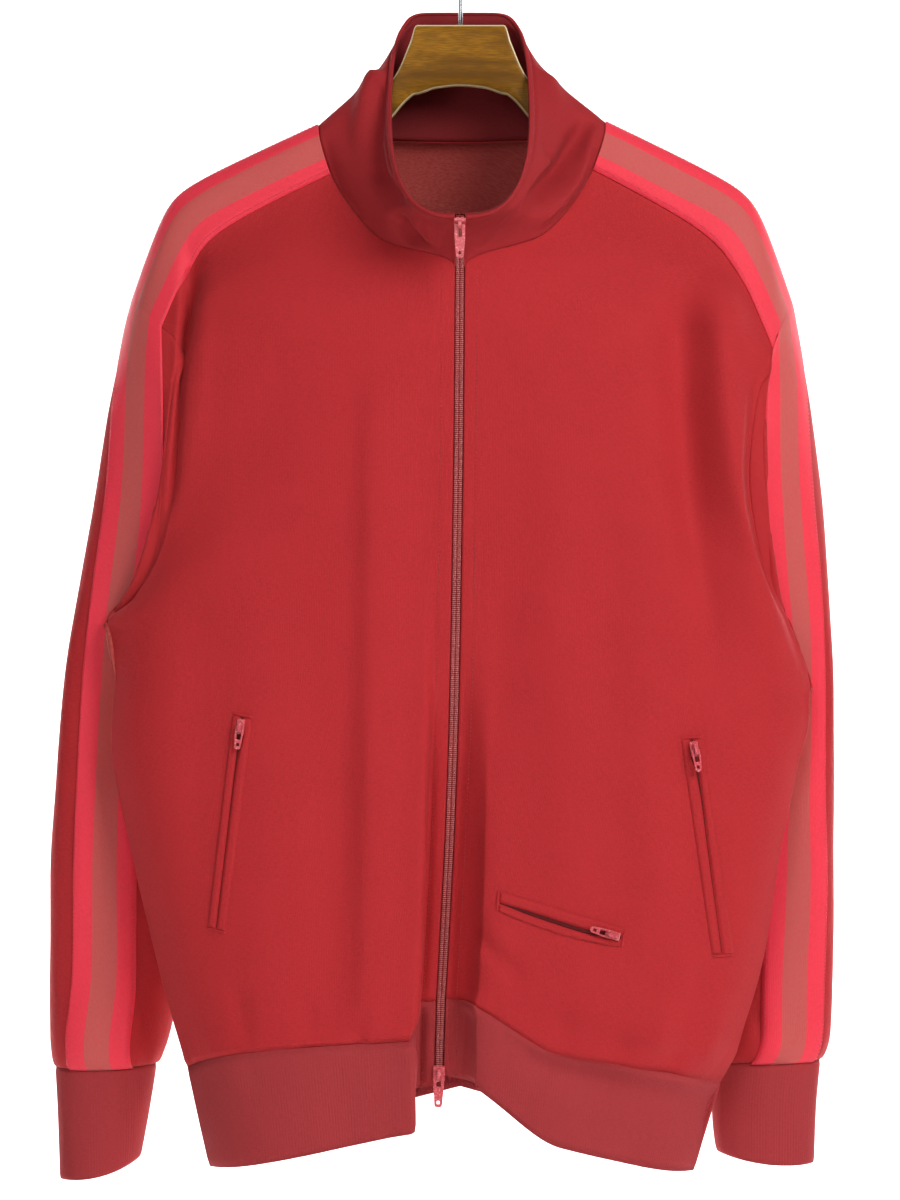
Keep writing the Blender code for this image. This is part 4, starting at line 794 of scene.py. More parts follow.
def folds_on(grid, normal, kind):
    """The way each point is moved: along its normal by height times strength times a bell curve of the distance
    over the width, and across by the lean times the same, summed over the folds.

    A fold fades out where the cloth turns away from the side it is seen from.
    """
    x, z = grid[..., 0], grid[..., 2]
    moved = np.zeros(grid.shape)
    for seen, rows in ((seen, rows) for found, seen, rows in FOLDS if found == kind):
        faces_it = ease(-0.1, 0.45, seen * normal[..., 1])
        for height, left, right, lean, *line in rows:
            away, strength = along_line(x, z, line)
            width = np.where(away < 0, left, right)
            bell = strength * np.exp(-((away / width) ** 2)) * faces_it
            moved += normal * (height * bell)[..., None]
            moved[..., 0] += lean * bell
    return moved


AT_ONCE = 8  # points of a line that are measured against a whole grid at a time


def distance_to(grid, line):
    """Each grid point's distance to the nearest point of a line of points."""
    spots = np.array_split(line, len(line) // AT_ONCE + 1)
    nearest = [((grid[:, :, None] - some) ** 2).sum(axis=-1).min(axis=-1) for some in spots]
    return np.sqrt(np.min(nearest, axis=0))


def swell(grid):
    """Slight unevenness of relaxed cloth: the sum of a few long waves across x and z, about 1 mm at most."""
    x, y, z = grid[..., 0], grid[..., 1], grid[..., 2]
    one = np.sin(x / 17 + 1.3 * np.sin(z / 61)) * np.sin(z / 83 + 0.7)
    two = np.sin(x / 9.5 + z / 47 + 2.1 * np.sin(z / 90)) * np.sin(z / 55 + y / 30)
    three = np.sin(x / 31 - z / 24 + 0.4) * np.sin(x / 40 + z / 35)
    return 0.34 * one + 0.16 * two + 0.26 * three


def ripple(along, seed):
    """An uneven wave along a seam: three sines whose lengths share no common measure."""
    waves = np.sin(along / 2.9 + seed) + np.sin(along / 1.83 + 2.3 * seed) + 0.8 * np.sin(along / 4.7 + 0.7 * seed)
    return waves / 2.8


# %% The cloth with its folds
PUCKER_REACH, GROOVE_REACH = 9, 1.6  # mm from a gathered seam to which the cloth puckers, and to which it sinks
RIM_ROLL, RIM_GROOVE = (1.0, 2.4, 2.0), (-1.5, 5.6, 1.1)  # the collar's rim: height, distance from its edge and width
BAND_RIPPLE, BAND_WAVE = (0.5, 5, 6), 1.6  # the waistband's, likewise below its seam, and how much longer its waves are
COLLAR_SWELL, BAND_SWELL = 0.5, 0.8  # share of the swell on these thicker pieces
KEPT_AT_HEM, KEPT_AT_CUFF = 0.35, 0.3  # share of the folds that runs on into the gathered seams
FADE = {
    # mm from an edge at which the folds and the swell start, and at which they are whole
    "armhole": (1, 10), "sleeve head": (1, 16), "shoulder": (0, 10), "shoulder, folds of all": (0, 8),
    "neck": (0, 10), "zip": (3, 14), "zip, puckers": (14, 22), "gathered seam": (0, 12), "puckers": (0, 3),
    "collar seam": (1, 9), "collar rim": (4, 12), "band seam": (0, 8), "open ends": (2, 12),
}


def gathered(along, away, seed, high, clear=1.0):
    """Height beside a gathered seam: an uneven wave and a groove, each a bell curve of the distance away."""
    pucker = ripple(along, seed)[None] * np.exp(-((away / PUCKER_REACH) ** 2)) * ease(*FADE["puckers"], away)
    return high * clear * pucker - high * np.exp(-((away / GROOVE_REACH) ** 2))


def folded(found, normals):
    """Every grid moved by its folds, its swell and the puckers at its seams, all less at the edges of the piece."""
    out = {}
    armholes = {side: found["sleeve_" + side][0][0] for side in ("left", "right")}
    for name, (grid, closed, turned) in found.items():
        normal, (piece, _, side) = normals[name], name.partition("_")
        from_first, across = arc(grid), arc(grid, 1)
        from_last = distance_to(grid, grid[-1])
        from_ends = ease(*FADE["open ends"], np.minimum(across, across[:, -1:] - across))
        if piece in ("front", "back"):
            near = [armholes[side]] if side else armholes.values()
            from_armhole = np.min([distance_to(grid, edge) for edge in near], axis=0)
            free = ease(*FADE["armhole"], from_armhole) * ease(*FADE["shoulder"], from_last)
            if side:
                neck_edge = grid[ROW_STEPS[:NECK].sum() :, 0]
                free = free * ease(*FADE["zip"], across) * ease(*FADE["neck"], distance_to(grid, neck_edge))
            free = free * (KEPT_AT_HEM + (1 - KEPT_AT_HEM) * ease(*FADE["gathered seam"], from_first))
            clear = ease(*FADE["zip, puckers"], across) if side else 1.0
            height = swell(grid) * free + gathered(across[0], from_first, seed=1.7, high=0.8, clear=clear)
            moved = folds_on(grid, normal, "body") * free[..., None]
            moved += folds_on(grid, normal, "all") * ease(*FADE["shoulder, folds of all"], from_last)[..., None]
        elif piece == "sleeve":
            at_cuff = KEPT_AT_CUFF + (1 - KEPT_AT_CUFF) * ease(*FADE["gathered seam"], from_last)
            free = ease(*FADE["sleeve head"], distance_to(grid, grid[0])) * at_cuff
            height = swell(grid) * free + gathered(across[-1], from_last, seed=0.6, high=0.7)
            moved = folds_on(grid, normal, "sleeve") * free[..., None] + folds_on(grid, normal, "all")
        elif piece == "collar":
            rim = from_first[-1:] - from_first
            free = ease(*FADE["collar seam"], from_first) * ease(*FADE["collar rim"], rim) * from_ends
            height = COLLAR_SWELL * swell(grid) * free
            height += sum(high * np.exp(-(((rim - at) / wide) ** 2)) for high, at, wide in (RIM_ROLL, RIM_GROOVE))
            moved = folds_on(grid, normal, "collar") * free[..., None]
        elif piece == "waistband":
            free = ease(*FADE["band seam"], from_first) * from_ends
            height = BAND_SWELL * swell(grid) * free
            high, at, wide = BAND_RIPPLE
            wave = ripple(across[0] / BAND_WAVE, seed=0.9)[None]
            height += high * wave * np.exp(-(((from_first - at) / wide) ** 2)) * free
            moved = folds_on(grid, normal, "band") * free[..., None]
        else:
            height, moved = 0 * from_first, 0 * grid
        out[name] = (grid + moved + normal * height[..., None], closed, turned)
    return out


normals = shared_normals(skin)
cloth = folded(skin, normals)
normals = shared_normals(cloth)
for name, (grid, _, _) in cloth.items():
    moved = np.linalg.norm(grid - skin[name][0], axis=-1)
    print(f"{name}: moved up to {moved.max():.1f} mm, {moved.mean():.2f} mm on average")


# %% [markdown]
# ## Finishes
# Knit is loops in upright rows, called wales, of yarn that is never quite one colour. One node group makes it for
# every cloth: two stretched noises are the yarn's flecks along and across, a slow noise is the unevenness of the
# dye, and a wave is the wales. It reads a UV map in metres, laid along each piece, so the wales follow the cloth.
# An image of knit would be quicker, but would blur close up and repeat from afar.

# %% Node group: knit
FLECK_SCALES, FLECK_FADE = ((1500, 330, 1), (300, 1300, 1)), (0.8, 1.25)  # per metre, and the sums over which they show
DYE_SCALE, DYE_DETAIL, DYE_FADE = 26.0, 3.0, (0.3, 0.7, 0.5, 1.0)
FLECK_SUNK = -0.6  # how far a fleck lies below the wales


def knit_group():
    """Flecks = two noises stretched along and across; colour = yarn towards fleck by them and by a slow noise."""
    yarns = (("Yarn", "Color", (0.5, 0.02, 0.03, 1)), ("Fleck", "Color", (0.3, 0.01, 0.02, 1)))
    sizes = (("Heather", "Float", 0.4), ("Wale", "Float", 0.0009))
    group, given = new_group("knit", (("Vector", "Vector"), *yarns, *sizes), ("Color", "Color"), ("Height", "Float"))
    math_node = lambda operation, *values: add(group, "Math", dict(enumerate(values)), operation=operation)
    stretched = [scaled(group, given["Vector"], by) for by in FLECK_SCALES]
    flecks = math_node("ADD", *(noise(group, vector, 1.0, 1.5) for vector in stretched))
    mask = ramp(group, flecks, *FLECK_FADE)
    slow = ramp(group, noise(group, given["Vector"], DYE_SCALE, DYE_DETAIL), *DYE_FADE)
    share = math_node("MULTIPLY", math_node("MULTIPLY", mask, slow), given["Heather"])
    across = add(group, "SeparateXYZ", {0: given["Vector"]})
    turns = math_node("MULTIPLY", math_node("DIVIDE", across, given["Wale"]), 2 * math.pi)
    wave = math_node("MULTIPLY_ADD", math_node("SINE", turns), 0.5, 0.5)
    height = math_node("MULTIPLY_ADD", mask, FLECK_SUNK, wave)
    return give(group, Color=mix(group, share, given["Yarn"], given["Fleck"]), Height=height)


KNIT = knit_group()


# %% Cloth materials
SHEEN = {"Sheen Roughness": 0.4, "Sheen Tint": (1.0, 0.62, 0.62, 1), "Specular IOR Level": 0.2}
STRIPE_EDGE = 0.0005  # m, half the width over which a stripe fades


def cloth_material(name, yarn, fleck, heather, wale, roughness=0.8, sheen=0.06, bump=0.3, stripe=None):
    """A Principled material whose colour and bump come from the knit group; stripe is colour, low and high edge."""
    made, tree, shader = plain_material(name, yarn, roughness, {"Sheen Weight": sheen, **SHEEN})
    lie, yarn = add(tree, "UVMap", uv_map="lie"), (*yarn, 1)
    if stripe:
        across = add(tree, "SeparateXYZ", {0: lie})
        colour, *edges = stripe
        rise, fall = (ramp(tree, across, at - STRIPE_EDGE, at + STRIPE_EDGE, kind="SMOOTHSTEP") for at in edges)
        yarn = mix(tree, add(tree, "Math", {0: rise, 1: fall}, operation="SUBTRACT"), yarn[:3], colour)
    yarns = {"Yarn": yarn, "Fleck": (*fleck, 1), "Heather": heather}
    knit = use_group(tree, KNIT, {"Vector": lie, "Wale": wale, **yarns})
    set_inputs(tree, shader, {"Base Color": knit["Color"], "Normal": raised(tree, knit["Height"], bump)})
    return made


RED, DEEP_RED = (0.48, 0.023, 0.027), (0.27, 0.010, 0.013)
TRICOT = cloth_material("tricot", RED, DEEP_RED, 0.45, 0.0011)
TRICOT_INSIDE = cloth_material("tricot inside", (0.40, 0.040, 0.036), (0.58, 0.15, 0.12), 0.5, 0.0013, bump=0.5)
# painted shade: the collar's tricot is a darker copy of the body's because it faces down, and its inside is darker
# still, as the shade within the neck
COLLAR_TRICOT_SHADED = cloth_material("collar tricot in painted shade", (0.36, 0.020, 0.024), DEEP_RED, 0.4, 0.0011)
COLLAR_INSIDE_SHADED = cloth_material("collar inside in painted shade", (0.23, 0.016, 0.018), (0.15, 0.010, 0.012), 0.5, 0.0011)
RIB_KNIT = cloth_material("rib", (0.385, 0.038, 0.042), (0.25, 0.02, 0.024), 0.4, 0.0021, roughness=0.9)
STRIPE = ((0.56, 0.10, 0.09), 0.0135, 0.0305)
BRAID = cloth_material("braid", (0.87, 0.045, 0.075), (0.60, 0.03, 0.05), 0.35, 0.0012, 0.55, bump=0.35, stripe=STRIPE)
ZIP_CLOTH = cloth_material("zip cloth", (0.34, 0.020, 0.024), (0.22, 0.014, 0.016), 0.5, 0.0008)
# painted shade: the zip in a pocket's slit is near black, as the deep shade inside the slit
POCKET_ZIP_PAINTED_SHADE = cloth_material("pocket zip", (0.11, 0.008, 0.009), (0.07, 0.006, 0.006), 0.5, 0.0008, sheen=0.0)
print("materials:", [m.name for m in bpy.data.materials])


# %% [markdown]
# ## From grid to cloth piece
# A grid of points is a thin shell with no thickness. Solidify gives it the cloth's own thickness inwards, with a
# second finish for the inside. The corners carry a UV map in metres: across the piece, and along it.

# %% A mesh from a grid
def grid_mesh(name, grid, closed, turned, lie=None):
    """A smooth mesh of quads from a grid of points in mm, with the UV map "lie" in metres.

    Corner (i, j) of the grid has u = distance along its row and v = distance along its column, or what lie says;
    on a closed grid the last column of faces ends at the row's whole length, so the map has a cut there.
    """
    grid = closing(grid, closed)
    rows, columns = grid.shape[:2]
    u, v = (arc(grid, 1), arc(grid)) if lie is None else lie
    i, j = np.meshgrid(np.arange(rows - 1), np.arange(columns - 1), indexing="ij")
    corners = np.stack([(i, j), (i, j + 1), (i + 1, j + 1), (i + 1, j)]).transpose(2, 3, 0, 1).reshape(-1, 4, 2)
    if turned:
        corners = corners[:, ::-1]
    count = columns - 1 if closed else columns
    faces = corners[..., 0] * count + corners[..., 1] % count
    mesh = bpy.data.meshes.new(name)
    mesh.from_pydata((grid[:, :count].reshape(-1, 3) * MM).tolist(), [], faces.tolist())
    uv = mesh.uv_layers.new(name="lie")
    values = np.stack([u[corners[..., 0], corners[..., 1]], v[corners[..., 0], corners[..., 1]]], axis=-1) * MM
    uv.data.foreach_set("uv", values.astype(np.float32).ravel())
    mesh.polygons.foreach_set("use_smooth", np.ones(len(faces), bool))
    return mesh


def place(name, mesh, slot, node, *finishes):
    """An object at the origin that rides on the jacket, has finishes, and may stand for a CAD node; slot is not used.
    """
    made = bpy.data.objects.new(name, mesh)
    bpy.context.scene.collection.objects.link(made)
    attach(made, JACKET)
    if node:
        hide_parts(node)
    for finish in finishes:
        made.data.materials.append(finish)
    return made


def cloth_piece(name, shape, thickness, finish, inside, slot, node=None):
    """A piece of cloth from (grid, closed, turned), with a wall of its thickness; its flat size, longest row and
    column, is worked out.

    A strip narrower than a sheet can be, such as the zip behind a pocket, is left undeclared.
    """
    grid, closed, turned = shape
    made = place(name, grid_mesh(name, grid, closed, turned), slot, node, finish, inside)
    wall = made.modifiers.new("thickness", "SOLIDIFY")
    wall.thickness, wall.offset, wall.material_offset = thickness * MM, -1, 1
    wide, long = arc(closing(grid, closed), 1)[:, -1].max() * MM, arc(grid)[-1].max() * MM


# %% [markdown]
# ## Fronts, back, sleeves and collar
# These are the tricot pieces. The inside of the fabric is brushed, darker and more speckled, and shows behind the
# hanger through the open neck; the collar is double, so it has the same cloth on both sides, in painted shade: its
# outside, which faces down, is a darker copy of the tricot, and its inside, within the neck, is darker still.

# %% Tricot pieces
for name in ("front_left", "front_right", "back", "sleeve_left", "sleeve_right"):
    inside = TRICOT if name.startswith("sleeve") else TRICOT_INSIDE
    cloth_piece("cloth_" + name, cloth[name], CLOTH, TRICOT, inside, "tricot", name)
cloth_piece("cloth_collar", cloth["collar"], COLLAR, COLLAR_TRICOT_SHADED, COLLAR_INSIDE_SHADED, "tricot", "collar")

# %% [markdown]
# ## Ribbed waistband and cuffs
# Rib knit alternates columns that stand proud with columns that sink. The ribs are real here: the grid is spread
# again to five points a rib and every rib is a raised cosine. A bump would do from afar, but not at the edge.

# %% Ribs
RIB_PITCH, RIB_DEPTH, RIB_POINTS = 1.9, 0.13, 5
SEAM_GROOVE, HEM_ROLL = (0.7, 1.8), (0.5, 1.5)  # depth and reach at a band's two edges
RIB_START = (-1.5, 4)  # mm from the seam over which the ribs get their depth


def respread(grid, closed, count):
    """The grid with count points along each row, evenly spaced by the distance along the first row."""
    grid = closing(grid, closed)
    at = arc(grid, 1)[0]
    spots = np.linspace(0, at[-1], count + (1 if closed else 0))
    index = np.clip(np.searchsorted(at, spots, side="right") - 1, 0, len(at) - 2)
    share = ((spots - at[index]) / (at[index + 1] - at[index]))[None, :, None]
    spread = grid[:, index] * (1 - share) + grid[:, index + 1] * share
    return spread[:, :-1] if closed else spread


def grid_normals(grid, closed, turned):
    """Unit normals from the cross product of the mean steps along rows and columns."""
    wide = np.concatenate([grid[:, -1:], grid, grid[:, :1]], axis=1) if closed else grid
    across = np.gradient(wide, axis=1)
    across = across[:, 1:-1] if closed else across
    out = unit(np.cross(across, np.gradient(grid, axis=0)))
    return -out if turned else out


def ribbed(shape, name):
    """A band with ribs: inward by the depth times a raised cosine of the place along the row."""
    grid, closed, turned = shape
    length = arc(closing(grid, closed), 1)[0, -1]
    ribs = round(length / RIB_PITCH)
    points = ribs * RIB_POINTS if closed else ribs * RIB_POINTS + 1
    grid = respread(grid, closed, points)
    phase = 2 * math.pi * np.arange(points) / RIB_POINTS
    sunk = RIB_DEPTH * (0.5 - 0.5 * np.cos(phase))[None]
    sunk = sunk * ease(*RIB_START, distance_to(grid, grid[0]))
    for edge, (deep, reach) in ((grid[0], SEAM_GROOVE), (grid[-1], HEM_ROLL)):
        sunk = sunk + deep * np.exp(-((distance_to(grid, edge) / reach) ** 2))
    out = grid_normals(grid, closed, turned)
    print(f"{name}: {ribs} ribs")
    return grid - out * sunk[..., None], closed, turned


for name in ("waistband", "cuff_left", "cuff_right"):
    cloth_piece("ribbed_" + name, ribbed(cloth[name], name), RIB, RIB_KNIT, RIB_KNIT, "rib", name)

# %% [markdown]
# ## Braid
# A woven braid, 44 mm wide and eased wider over the upper sleeve, runs from the collar over the shoulder and down to
# the cuff: bright coral, with one broad dull stripe along its middle. It lies on the cloth, so its points are the
# cloth's own, lifted a little.

# %% Braid
BRAID_THICK, BRAID_LIFT = 0.7, 0.25


def braid_grid(side):
    """The front's top rows from neck to armhole, then the sleeve's first columns, lifted along their normals."""
    wide = BRAID_COLUMNS + 1
    joined = lambda front, sleeve: np.concatenate([front[: -wide - 1 : -1].transpose(1, 0, 2), sleeve[1:, :wide]])
    out = joined(normals["front_" + side], normals["sleeve_" + side])
    return joined(cloth["front_" + side][0], cloth["sleeve_" + side][0]) + out * (BRAID_LIFT + BRAID_THICK), out


for side, turned in (("left", True), ("right", False)):
    shape = (braid_grid(side)[0], False, turned)
    cloth_piece("braid_" + side, shape, BRAID_THICK, BRAID, BRAID, "braid", "tape_" + side)


# %% [markdown]
# ## Stitches
# Thousands of stitches show as fine rows beside the zip, along the braid and round the pockets. Each is a small
# capsule of thread. They are worked out all at once: the capsule's few points are multiplied into the frames of
# every place along a seam, which is far quicker than copying objects, and keeps each row one light mesh.

# %% Rows of stitches
STITCH_PITCH, STITCH_LONG, THREAD = 2.7, 1.9, 0.24  # mm
LOOK_AHEAD = 0.8  # mm each way along a row over which its direction is taken


def along_row(points, out, pitch, start=0.0):
    """Places evenly spaced along a row of points: positions, unit tangents and normals, by linear interpolation."""
    reach = arc(points)
    spots = np.arange(start, reach[-1], pitch)
    pick = lambda rows, at: np.stack([np.interp(at, reach, rows[:, k]) for k in range(3)], axis=1)
    ahead, back = np.minimum(spots + LOOK_AHEAD, reach[-1]), np.maximum(spots - LOOK_AHEAD, 0)
    tangent = unit(pick(points, ahead) - pick(points, back))
    normal = pick(out, spots)
    normal = unit(normal - tangent * (normal * tangent).sum(axis=1, keepdims=True))
    return pick(points, spots), tangent, normal


def capsule(long, radius, sides=5):
    """A closed capsule along X: four rings, narrow at the ends; returns points, quads and the two end faces."""
    turn = np.arange(sides) * 2 * math.pi / sides
    x = np.repeat([-long / 2, -long / 3, long / 3, long / 2], sides)
    wide = np.repeat([0.35, 1, 1, 0.35], sides) * radius
    points = np.stack([x, wide * np.tile(np.cos(turn), 4), wide * np.tile(np.sin(turn), 4)], axis=1)
    first, ring = np.arange(sides), np.arange(3)[:, None] * sides
    after = (first + 1) % sides
    quads = np.stack([ring + first, ring + sides + first, ring + sides + after, ring + after], axis=-1).reshape(-1, 4)
    return points, quads, np.array([first, 3 * sides + first[::-1]])


def scattered(name, shape, places):
    """One mesh of the same shape at many places: point = position + x tangent + y side + z normal."""
    points, quads, ends = shape
    position, tangent, normal = (np.concatenate(part) for part in zip(*places))
    frames = np.stack([tangent, np.cross(normal, tangent), normal], axis=1)
    every = (position[:, None] + points @ frames).reshape(-1, 3)
    shift = (np.arange(len(position)) * len(points))[:, None, None]
    faces = (quads[None] + shift).reshape(-1, 4).tolist() + (ends[None] + shift).reshape(-1, ends.shape[1]).tolist()
    mesh = bpy.data.meshes.new(name)
    mesh.from_pydata((every * MM).tolist(), [], faces)
    mesh.polygons.foreach_set("use_smooth", np.ones(len(faces), bool))
    print(f"{name}: {len(position)} of {len(quads) + len(ends)} faces")
    return mesh


def stitches(name, rows, finish, slot, lift=0.05):
    """Rows of stitches, each (points, normals), lying on the cloth with half their thread above it."""
    places = [along_row(points + out * lift, out, STITCH_PITCH, 1.2) for points, out in rows]
    place(name, scattered(name, capsule(STITCH_LONG, THREAD), places), slot, None, finish)


# shade painted into the grooves of a twisted thread: how much of its colour is left there
GROOVE_SHADE_PAINTED = 0.6  # how much of a thread's colour is left in its grooves


def twist_group():
    """Colour = the painted shade of the grooves towards the thread's own by a fine diagonal wave."""
    sockets = (("Vector", "Vector"), ("Thread", "Color"), ("Groove", "Color"))
    group, given = new_group("twist", sockets, ("Color", "Color"))
    wave = {"Vector": given["Vector"], "Scale": 260.0, "Distortion": 2.0}
    share = add(group, "TexWave", wave, "Fac", bands_direction="DIAGONAL")
    return give(group, Color=mix(group, share, given["Groove"], given["Thread"]))


TWIST = twist_group()


def thread_material(name, colour, roughness=0.6):
    """Twisted thread: shade is painted into its grooves, as a darker colour."""
    made, tree, shader = plain_material(name, colour, roughness)
    groove = (*(c * GROOVE_SHADE_PAINTED for c in colour), 1)
    inputs = {"Vector": add(tree, "TexCoord", output="Object"), "Thread": (*colour, 1), "Groove": groove}
    set_inputs(tree, shader, {"Base Color": use_group(tree, TWIST, inputs)["Color"]})
    return made


THREAD_RED = thread_material("red thread", (0.42, 0.03, 0.035))
THREAD_CORAL = thread_material("coral thread", (0.75, 0.05, 0.08))

# %% [markdown]
# ## Zip
# The zip's two woven tapes lie behind the fronts' edges. Between them runs the coil, two rows of nylon loops that
# mesh like fingers, about 1.3 mm apart. Each loop is a bead across the zip, the right row half a step later.

# %% Levels beside the zip
BESIDE = 26  # grid columns beside the zip that are looked at


def beside_zip(side):
    """Points, normals and cloth thickness at every level beside the zip, from the lower edge to the rim."""
    front = "front_left" if side == LEFT else "front_right"
    neck = ROW_STEPS[:NECK].sum()
    columns = slice(0, BESIDE) if side == LEFT else slice(-1, -BESIDE - 1, -1)
    pieces = []
    for source, rows, where, thick in (
        ("waistband", slice(None, 0, -1), columns, RIB),
        (front, slice(0, neck + 1), slice(0, BESIDE), CLOTH),
        ("collar", slice(1, None), columns, COLLAR),
    ):
        grid, out = cloth[source][0][rows, where], normals[source][rows, where]
        pieces.append((grid, out, np.full(len(grid), thick)))
    return [np.concatenate(part) for part in zip(*pieces)]


def at_distance(points, out, spot):
    """For each level, the point and normal at a distance along its row, by linear interpolation."""
    reach = arc(points, 1)
    index = np.clip((reach <= spot).sum(axis=1) - 1, 0, points.shape[1] - 2)
    level = np.arange(len(points))
    share = ((spot - reach[level, index]) / (reach[level, index + 1] - reach[level, index]))[:, None]
    at_share = lambda rows: rows[level, index] * (1 - share) + rows[level, index + 1] * share
    return at_share(points), unit(at_share(out))


zip_sides = {side: beside_zip(side) for side in (LEFT, RIGHT)}
left_edge, right_edge = (zip_sides[side][0][:, 0] for side in (LEFT, RIGHT))
zip_line = (left_edge + right_edge) / 2
zip_across = unit(right_edge - left_edge)
zip_out = unit(zip_sides[LEFT][1][:, 0] + zip_sides[RIGHT][1][:, 0])
zip_out = unit(zip_out - zip_across * (zip_out * zip_across).sum(axis=1, keepdims=True))
zip_length = arc(zip_line[None], 1)[0, -1]
zip_gap = np.linalg.norm(right_edge - left_edge, axis=1).mean()
print(f"zip: {zip_length:.0f} mm long, {zip_gap:.1f} mm between the fronts")

# %% Zip tapes
TAPE_BEHIND, ZIP_TAPE = 0.5, 0.6  # gap behind the cloth, and the tape's thickness
TAPE_BEHIND_COLLAR = 4 * TAPE_BEHIND
TAPE_BETWEEN, TAPE_UNDER = (0.35, 1.9), (1.0, 3.0, 5.0, 7.0)  # its columns from the centre line, and under a front
TAPE_ENDS = 7  # levels below the rim where the tapes are tucked in


def zip_tape(side):
    """One tape: from near the centre line to 7 mm under the front, set back by the cloth's thickness."""
    points, out, thick = zip_sides[side]
    deep = (thick + np.where(thick == COLLAR, TAPE_BEHIND_COLLAR, TAPE_BEHIND))[:, None]
    rows = [zip_line + side * zip_across * spot for spot in TAPE_BETWEEN]
    rows += [at_distance(points, out, spot)[0] for spot in TAPE_UNDER]
    return (np.stack(rows, axis=1) - (zip_out * deep)[:, None])[:-TAPE_ENDS]


for side, name in ((LEFT, "left"), (RIGHT, "right")):
    piece, node, front = "woven_zip_tape_" + name, "zip_tape_" + name, "cloth_front_" + name
    cloth_piece(piece, (zip_tape(side), False, side == LEFT), ZIP_TAPE, ZIP_CLOTH, ZIP_CLOTH, "zip_cloth", node)


# %% Coil
def specks_group():
    """Colour = ground towards speck as a noise rises from low to high."""
    colours = (("Vector", "Vector"), ("Ground", "Color"), ("Speck", "Color"))
    sizes = (("Scale", "Float", 700.0), ("Detail", "Float", 2.0), ("Low", "Float", 0.35), ("High", "Float", 0.65))
    group, given = new_group("specks", (*colours, *sizes), ("Color", "Color"))
    found = noise(group, given["Vector"], given["Scale"], given["Detail"])
    share = ramp(group, found, given["Low"], given["High"])
    return give(group, Color=mix(group, share, given["Ground"], given["Speck"]))


SPECKS = specks_group()


def specked_material(name, colour, roughness, ground, speck, sizes, more=(), peel=0.0):
    """Ground and speck in a noise of these sizes; peel is the strength of a fine unevenness of the surface."""
    made, tree, shader = plain_material(name, colour, roughness, more)
    spot = add(tree, "TexCoord", output="Object")
    inputs = {"Vector": spot, "Ground": (*ground, 1), "Speck": (*speck, 1), **sizes}
    set_inputs(tree, shader, {"Base Color": use_group(tree, SPECKS, inputs)["Color"]})
    if peel:
        set_inputs(tree, shader, {"Normal": raised(tree, noise(tree, spot, 1500.0), peel)})
    return made


NYLON_RED, NYLON_DARK = (0.62, 0.15, 0.14), (0.44, 0.08, 0.08)
NYLON_SPECKS = {"Scale": 700.0, "Detail": 2.0, "Low": 0.35, "High": 0.65}
GLOSS = {"Coat Weight": 0.3}
NYLON = specked_material("nylon coil", NYLON_RED, 0.38, NYLON_DARK, NYLON_RED, NYLON_SPECKS, GLOSS)
COIL_PITCH, COIL_START, BEAD_LONG, BEAD_RADIUS = 1.3, 0.6, 2.6, 0.46
BEAD_BESIDE, BEAD_BEHIND = 1.45, 0.35  # a loop's middle from the zip's line
CORE, CORE_THICK = ((-2.6, 1.3), (-1.5, 0.85), (0, 1.0), (1.5, 0.85), (2.6, 1.3)), 0.3  # beside and behind the line
bead_rows = []
for side in (LEFT, RIGHT):
    centre = zip_line + side * zip_across * BEAD_BESIDE - zip_out * BEAD_BEHIND
    start = COIL_START if side == LEFT else COIL_START + COIL_PITCH / 2
    spot, along, out = along_row(centre, zip_out, COIL_PITCH, start)
    bead_rows.append((spot, np.cross(along, out), out))
loops = scattered("coil_loops", capsule(BEAD_LONG, BEAD_RADIUS, 6), bead_rows)
place("coil_loops", loops, "coil", "zip_coil", NYLON)

core = np.stack([zip_line + zip_across * x - zip_out * y for x, y in CORE], axis=1)
cloth_piece("coil_core", (core, False, False), CORE_THICK, ZIP_CLOTH, ZIP_CLOTH, "zip_cloth", None)

# %% [markdown]
# ## Top-stitching
# The fronts' edges are turned under and stitched 12 mm from the zip. The braid has a row along each edge, and the
# collar a row below its rim.

# %% Stitched seams
FRONT_STITCHES = 8.5  # mm from a front's edge
COLLAR_STITCHES = -7  # grid row of the collar
neck_level = BAND_STEPS + ROW_STEPS[:NECK].sum()
rows = [
    tuple(part[: neck_level + 1] for part in at_distance(points, out, FRONT_STITCHES))
    for points, out, _ in zip_sides.values()
]
rows.append((cloth["collar"][0][COLLAR_STITCHES], normals["collar"][COLLAR_STITCHES]))
stitches("stitches_fronts_and_collar", rows, THREAD_RED, "tricot")
rows = [
    ((grid[:, edge] + grid[:, inner]) / 2, out[:, edge])
    for grid, out in (braid_grid("left"), braid_grid("right"))
    for edge, inner in ((0, 1), (-1, -2))
]
stitches("stitches_braid", rows, THREAD_CORAL, "braid")


# %% [markdown]
# ## Pockets
# Each pocket is a slit between two rolled lips of tricot, with a fine zip behind, painted near black as the shade
# in the slit. The lips, the slit and the bars at the ends are one surface here, whose height over the front is worked
# out from the place along and across it. It is seated on the folded front, so that it follows it.

# %% Seating on a front
SEAT_MARGIN = 8  # mm round the places within which a front's triangles are looked at


